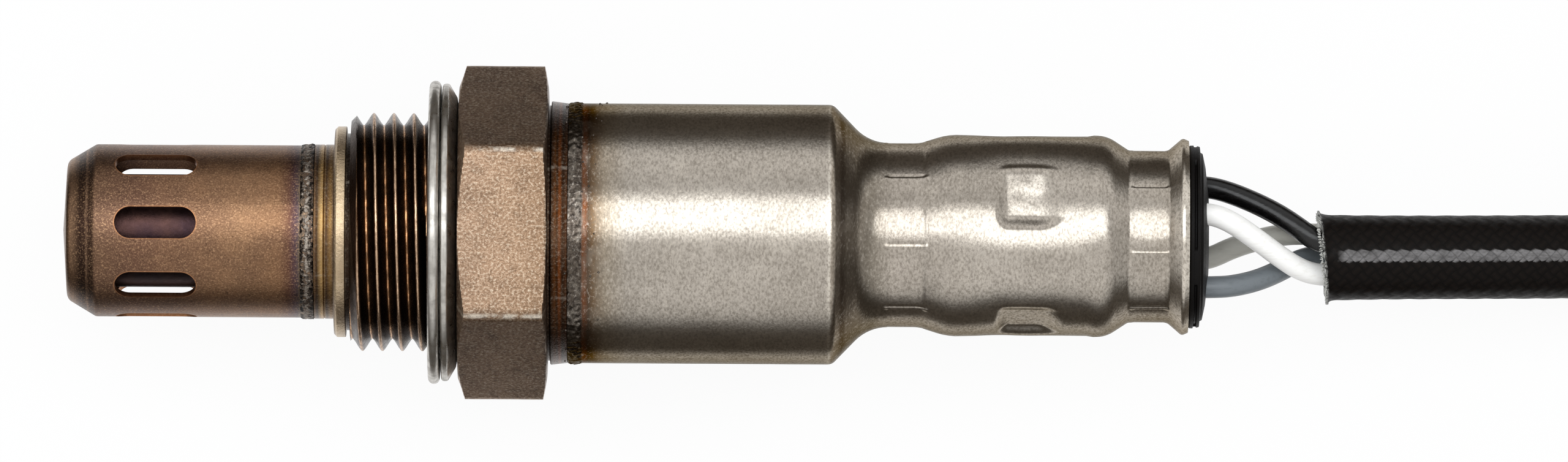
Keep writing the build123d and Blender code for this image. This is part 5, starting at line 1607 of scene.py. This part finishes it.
        layer.data.foreach_set("uv", np.stack([run[owners], arc], -1).astype(np.float32).ravel())


@dataclass
class FrayedFibres:
    """Loose glass fibres that stand out of the sleeve's cut end."""

    count: int = 260
    radius: float = 3.2
    ring: float = 0.42
    mouth: tuple[float, float, float] = (67.22, -1.5, -0.9)
    set_back: float = -0.31  # slant of the mouth
    vertices: int = 5
    top_r: float = 0.02
    bottom_r: float = 0.06
    length: float = 0.24
    leans: tuple[float, float] = (-2.6, 2.4)  # least lean and how much more, in radians
    twist: float = 0.9

    def build(self) -> None:
        """Plants the fibres round the cut end by rule."""
        # Cut glass ends scatter the light and look off-white.
        pale = PlainFinish("cut_glass_fibre", "c9c9c4", "9a9a94", 0.5).material()
        rule = Rule("fray_rule", {"Radius": self.radius, "Ring": self.ring})
        add, size = rule.add, rule.size
        round_it, depth, tip, twist = rule.chances(21, 34, 55, 89)
        turn = add("Math:MULTIPLY", round_it, 2 * math.pi)
        reach = add("Math:SUBTRACT", size["Radius"], add("Math:MULTIPLY", depth, size["Ring"]))
        x = add("Math:MULTIPLY_ADD", add("Math:SINE", turn), self.set_back, self.mouth[0])
        place = rule.polar(x, reach, turn, self.mouth[1:])
        sizes = {"Radius Top": self.top_r, "Radius Bottom": self.bottom_r, "Depth": self.length}
        metres = {name: value * MM for name, value in sizes.items()}
        hair = add("GeometryNodeMeshCone", self.vertices, links=metres)
        lean = add("Math:MULTIPLY_ADD", tip, self.leans[1], self.leans[0])
        twisted = add("Math:MULTIPLY", twist, self.twist)
        turned = add("CombineXYZ", add("Math:MULTIPLY", turn, -1.0), lean, twisted)
        hairs = rule.scatter(self.count, place, hair, Rotation=turned)
        place_piece("frayed_fibres", rule.bake(hairs, pale), pale, "sleeve_weave", sharp=60)


@dataclass
class PlugEnd:
    """The sealed plug with its tail wires, terminals and seals, and the tie round the hank."""

    tie_edge: float = 0.12
    plug_edge: float = 0.14

    def build(self, finishes: Finishes, insulation: dict[str, Material]) -> None:
        """Dresses the plug's pieces.

        Args:
            finishes: the stock finishes.
            insulation: each wire's finish.
        """
        smooth_copy("hank_tie", finishes.get(Stock.NYLON), "tie_nylon", self.tie_edge)
        smooth_copy("plug_housing", finishes.get(Stock.PLUG), "plug_plastic", self.plug_edge)
        smooth_copy("plug_seal", finishes.get(Stock.SEAL), "seal_rubber")
        finishes.dress(Stock.LOCK, "plug_lock")
        for wire in WIRE_NAMES:
            slot = {"black": "wire_black", "grey": "wire_grey"}.get(wire, "wire_white")
            smooth_copy(f"tail_wire_{wire}", insulation[wire], slot)
            finishes.dress(Stock.PLATED, f"terminal_{wire}", f"contact_{wire}")
            finishes.dress(Stock.SEAL, f"wire_seal_{wire}")


@dataclass
class Internals:
    """Pieces sealed inside the sensor, which keep the solid model's shapes."""

    element: tuple[str, ...] = ("sensing_element",)
    steatite: tuple[str, ...] = (
        "front_ceramic", "rear_ceramic", "holder_half_upper", "holder_half_lower", "neck_bush", "wire_spacer",
    )
    packing: tuple[str, ...] = ("talc_seal",)
    strip: tuple[str, ...] = ("crimp_ring", "clamp_ring", "support_bush")

    def build(self, finishes: Finishes) -> None:
        """Dresses the inner pieces.

        Args:
            finishes: the stock finishes.
        """
        finishes.dress(Stock.ZIRCONIA, *self.element)
        finishes.dress(Stock.STEATITE, *self.steatite)
        finishes.dress(Stock.TALC, *self.packing)
        finishes.dress(Stock.STRIP, *self.strip)


# ---------------------------------------------------------------- stage


@dataclass
class Studio:
    """White floor, one soft lamp, a pale room and a long lens that looks straight down."""

    view_width: float = 117.97
    centre: tuple[float, float] = (26.72, 0.26)
    height: float = 1.6
    roll: float = -0.35
    sensor_width: float = 36.0
    floor_half: float = 3.0
    # What the metal mirrors: a white sheet (from x, to x, from y, to y) on a darker table.
    sheet: tuple[float, float, float, float] = (-37.0, 92.0, -23.5, 21.5)
    sheet_edge: float = 2.5
    sheet_colour: str = "e4e4e4"
    table_colour: str = "4a443d"
    glow: float = 0.93  # share of the floor's own light, so that it stays white but keeps the shadow
    lamp_place: tuple[float, float, float] = (-0.15, 0.207, 0.72)
    lamp_size: tuple[float, float] = (1.4, 0.42)
    lamp_watts: float = 4.4
    lamp_colour: tuple[float, float, float] = (0.93, 0.965, 1.0)
    room: Line = ((0.0, 1.0), (0.25, 0.9), (0.5, 0.66), (0.9, 0.96))  # (height, brightness)
    room_lean: float = -0.45  # tips the room's bright side towards -Y
    dusk: Line = ((0.0, 0.2), (0.2, 1.0))
    floor_gap: float = 0.02

    def floor(self) -> None:
        """Lays the floor: white where the camera sees it, a sheet on a table in reflections."""
        half, z = self.floor_half, (FLOOR - self.floor_gap) * MM
        mesh = bpy.data.meshes.new("studio_floor")
        corners = [(-half, -half, z), (half, -half, z), (half, half, z), (-half, half, z)]
        mesh.from_pydata(corners, [], [(0, 1, 2, 3)])
        material = bpy.data.materials.new("pale_floor")
        material.use_nodes = True
        add = Graph(material.node_tree).add
        place = add("SeparateXYZ", add("TexCoord").outputs["Object"]).outputs
        inside = 1.0
        for axis, (low, high) in enumerate((self.sheet[:2], self.sheet[2:])):
            for edge, past in ((low, low - self.sheet_edge), (high, high + self.sheet_edge)):
                inside = add("Math:MULTIPLY", inside, add("MapRange", place[axis], past * MM, edge * MM))
        path = add("LightPath").outputs
        mirrored = add("Math:MAXIMUM", path["Is Glossy Ray"], path["Is Transmission Ray"])
        near = add("Math:MULTIPLY", mirrored, inside)
        white = add("Math:MAXIMUM", path["Is Camera Ray"], near)
        pale = add("Math:MAXIMUM", path["Is Camera Ray"], inside)
        paper = add("Mix", pale, self.table_colour, self.sheet_colour, data_type="RGBA")
        share = add("Math:MULTIPLY", white, self.glow)
        glow = add("Emission", "ffffff", 1.0)
        add("OutputMaterial", add("MixShader", share, add("BsdfDiffuse", paper), glow))
        mesh.materials.append(material)
        floor = bpy.data.objects.new("studio_floor", mesh)
        bpy.context.scene.collection.objects.link(floor)

    def lamp(self) -> None:
        """Hangs the soft rectangular lamp, square to the sensor's axis."""
        light = bpy.data.lights.new("key_lamp", "AREA")
        light.shape = "RECTANGLE"
        light.size, light.size_y = self.lamp_size
        light.energy = self.lamp_watts
        light.color = self.lamp_colour
        holder = bpy.data.objects.new("key_lamp", light)
        bpy.context.scene.collection.objects.link(holder)
        holder.location = self.lamp_place
        aim = Vector((self.lamp_place[0], 0.0, 0.0)) - Vector(self.lamp_place)
        holder.rotation_euler = aim.to_track_quat("-Z", "Y").to_euler()

    def world(self) -> None:
        """Lights the room softly: bright overhead, dim at the horizon, white where it is seen."""
        world = bpy.data.worlds.new("studio_room")
        bpy.context.scene.world = world
        world.use_nodes = True
        add = Graph(world.node_tree).add
        side = add("SeparateXYZ", add("TexCoord").outputs["Generated"]).outputs
        height = add("Math:MULTIPLY_ADD", side[1], self.room_lean, side[2])
        room = add("ValToRGB", height, stops=self.room)
        dusk = add("ValToRGB", side[2], stops=self.dusk)
        walls = add("Mix", 1.0, room, dusk, data_type="RGBA", blend_type="MULTIPLY")
        seen = add("LightPath").outputs["Is Camera Ray"]
        soft, white = add("Background", walls, 1.0), add("Background", "ffffff", 1.0)
        add("OutputWorld", add("MixShader", seen, soft, white))

    def camera(self) -> None:
        """Hangs the camera over the sensor, with +X to the right and +Y up."""
        lens = bpy.data.cameras.new("overhead_camera")
        lens.sensor_fit = "HORIZONTAL"
        lens.sensor_width = self.sensor_width
        lens.lens = self.sensor_width * self.height / (self.view_width * MM)
        lens.clip_start, lens.clip_end = 0.05, 20.0
        camera = bpy.data.objects.new("overhead_camera", lens)
        bpy.context.scene.collection.objects.link(camera)
        camera.location = (*(v * MM for v in self.centre), self.height)
        camera.rotation_euler = (0.0, 0.0, -math.radians(self.roll))
        bpy.context.scene.camera = camera

    def build(self) -> None:
        """Sets the stage."""
        self.camera()
        self.floor()
        self.world()
        self.lamp()
        bpy.context.scene.view_settings.view_transform = "Standard"


def main() -> None:
    """Builds the stage and the sensor."""
    logging.basicConfig(level=logging.INFO, format="%(name)s: %(message)s")
    Studio().build()
    finishes = Finishes()
    ThreadedBody().build()
    TipCovers().build(finishes)
    DrawnCasing().build()
    WeldSpatter().build(finishes.get(Stock.BEAD))
    Grommet().build()
    insulation = Wires().build()
    PlugEnd().build(finishes, insulation)
    Lead().build()
    FrayedFibres().build()
    Internals().build(finishes)


if __name__ == "__main__":
    main()
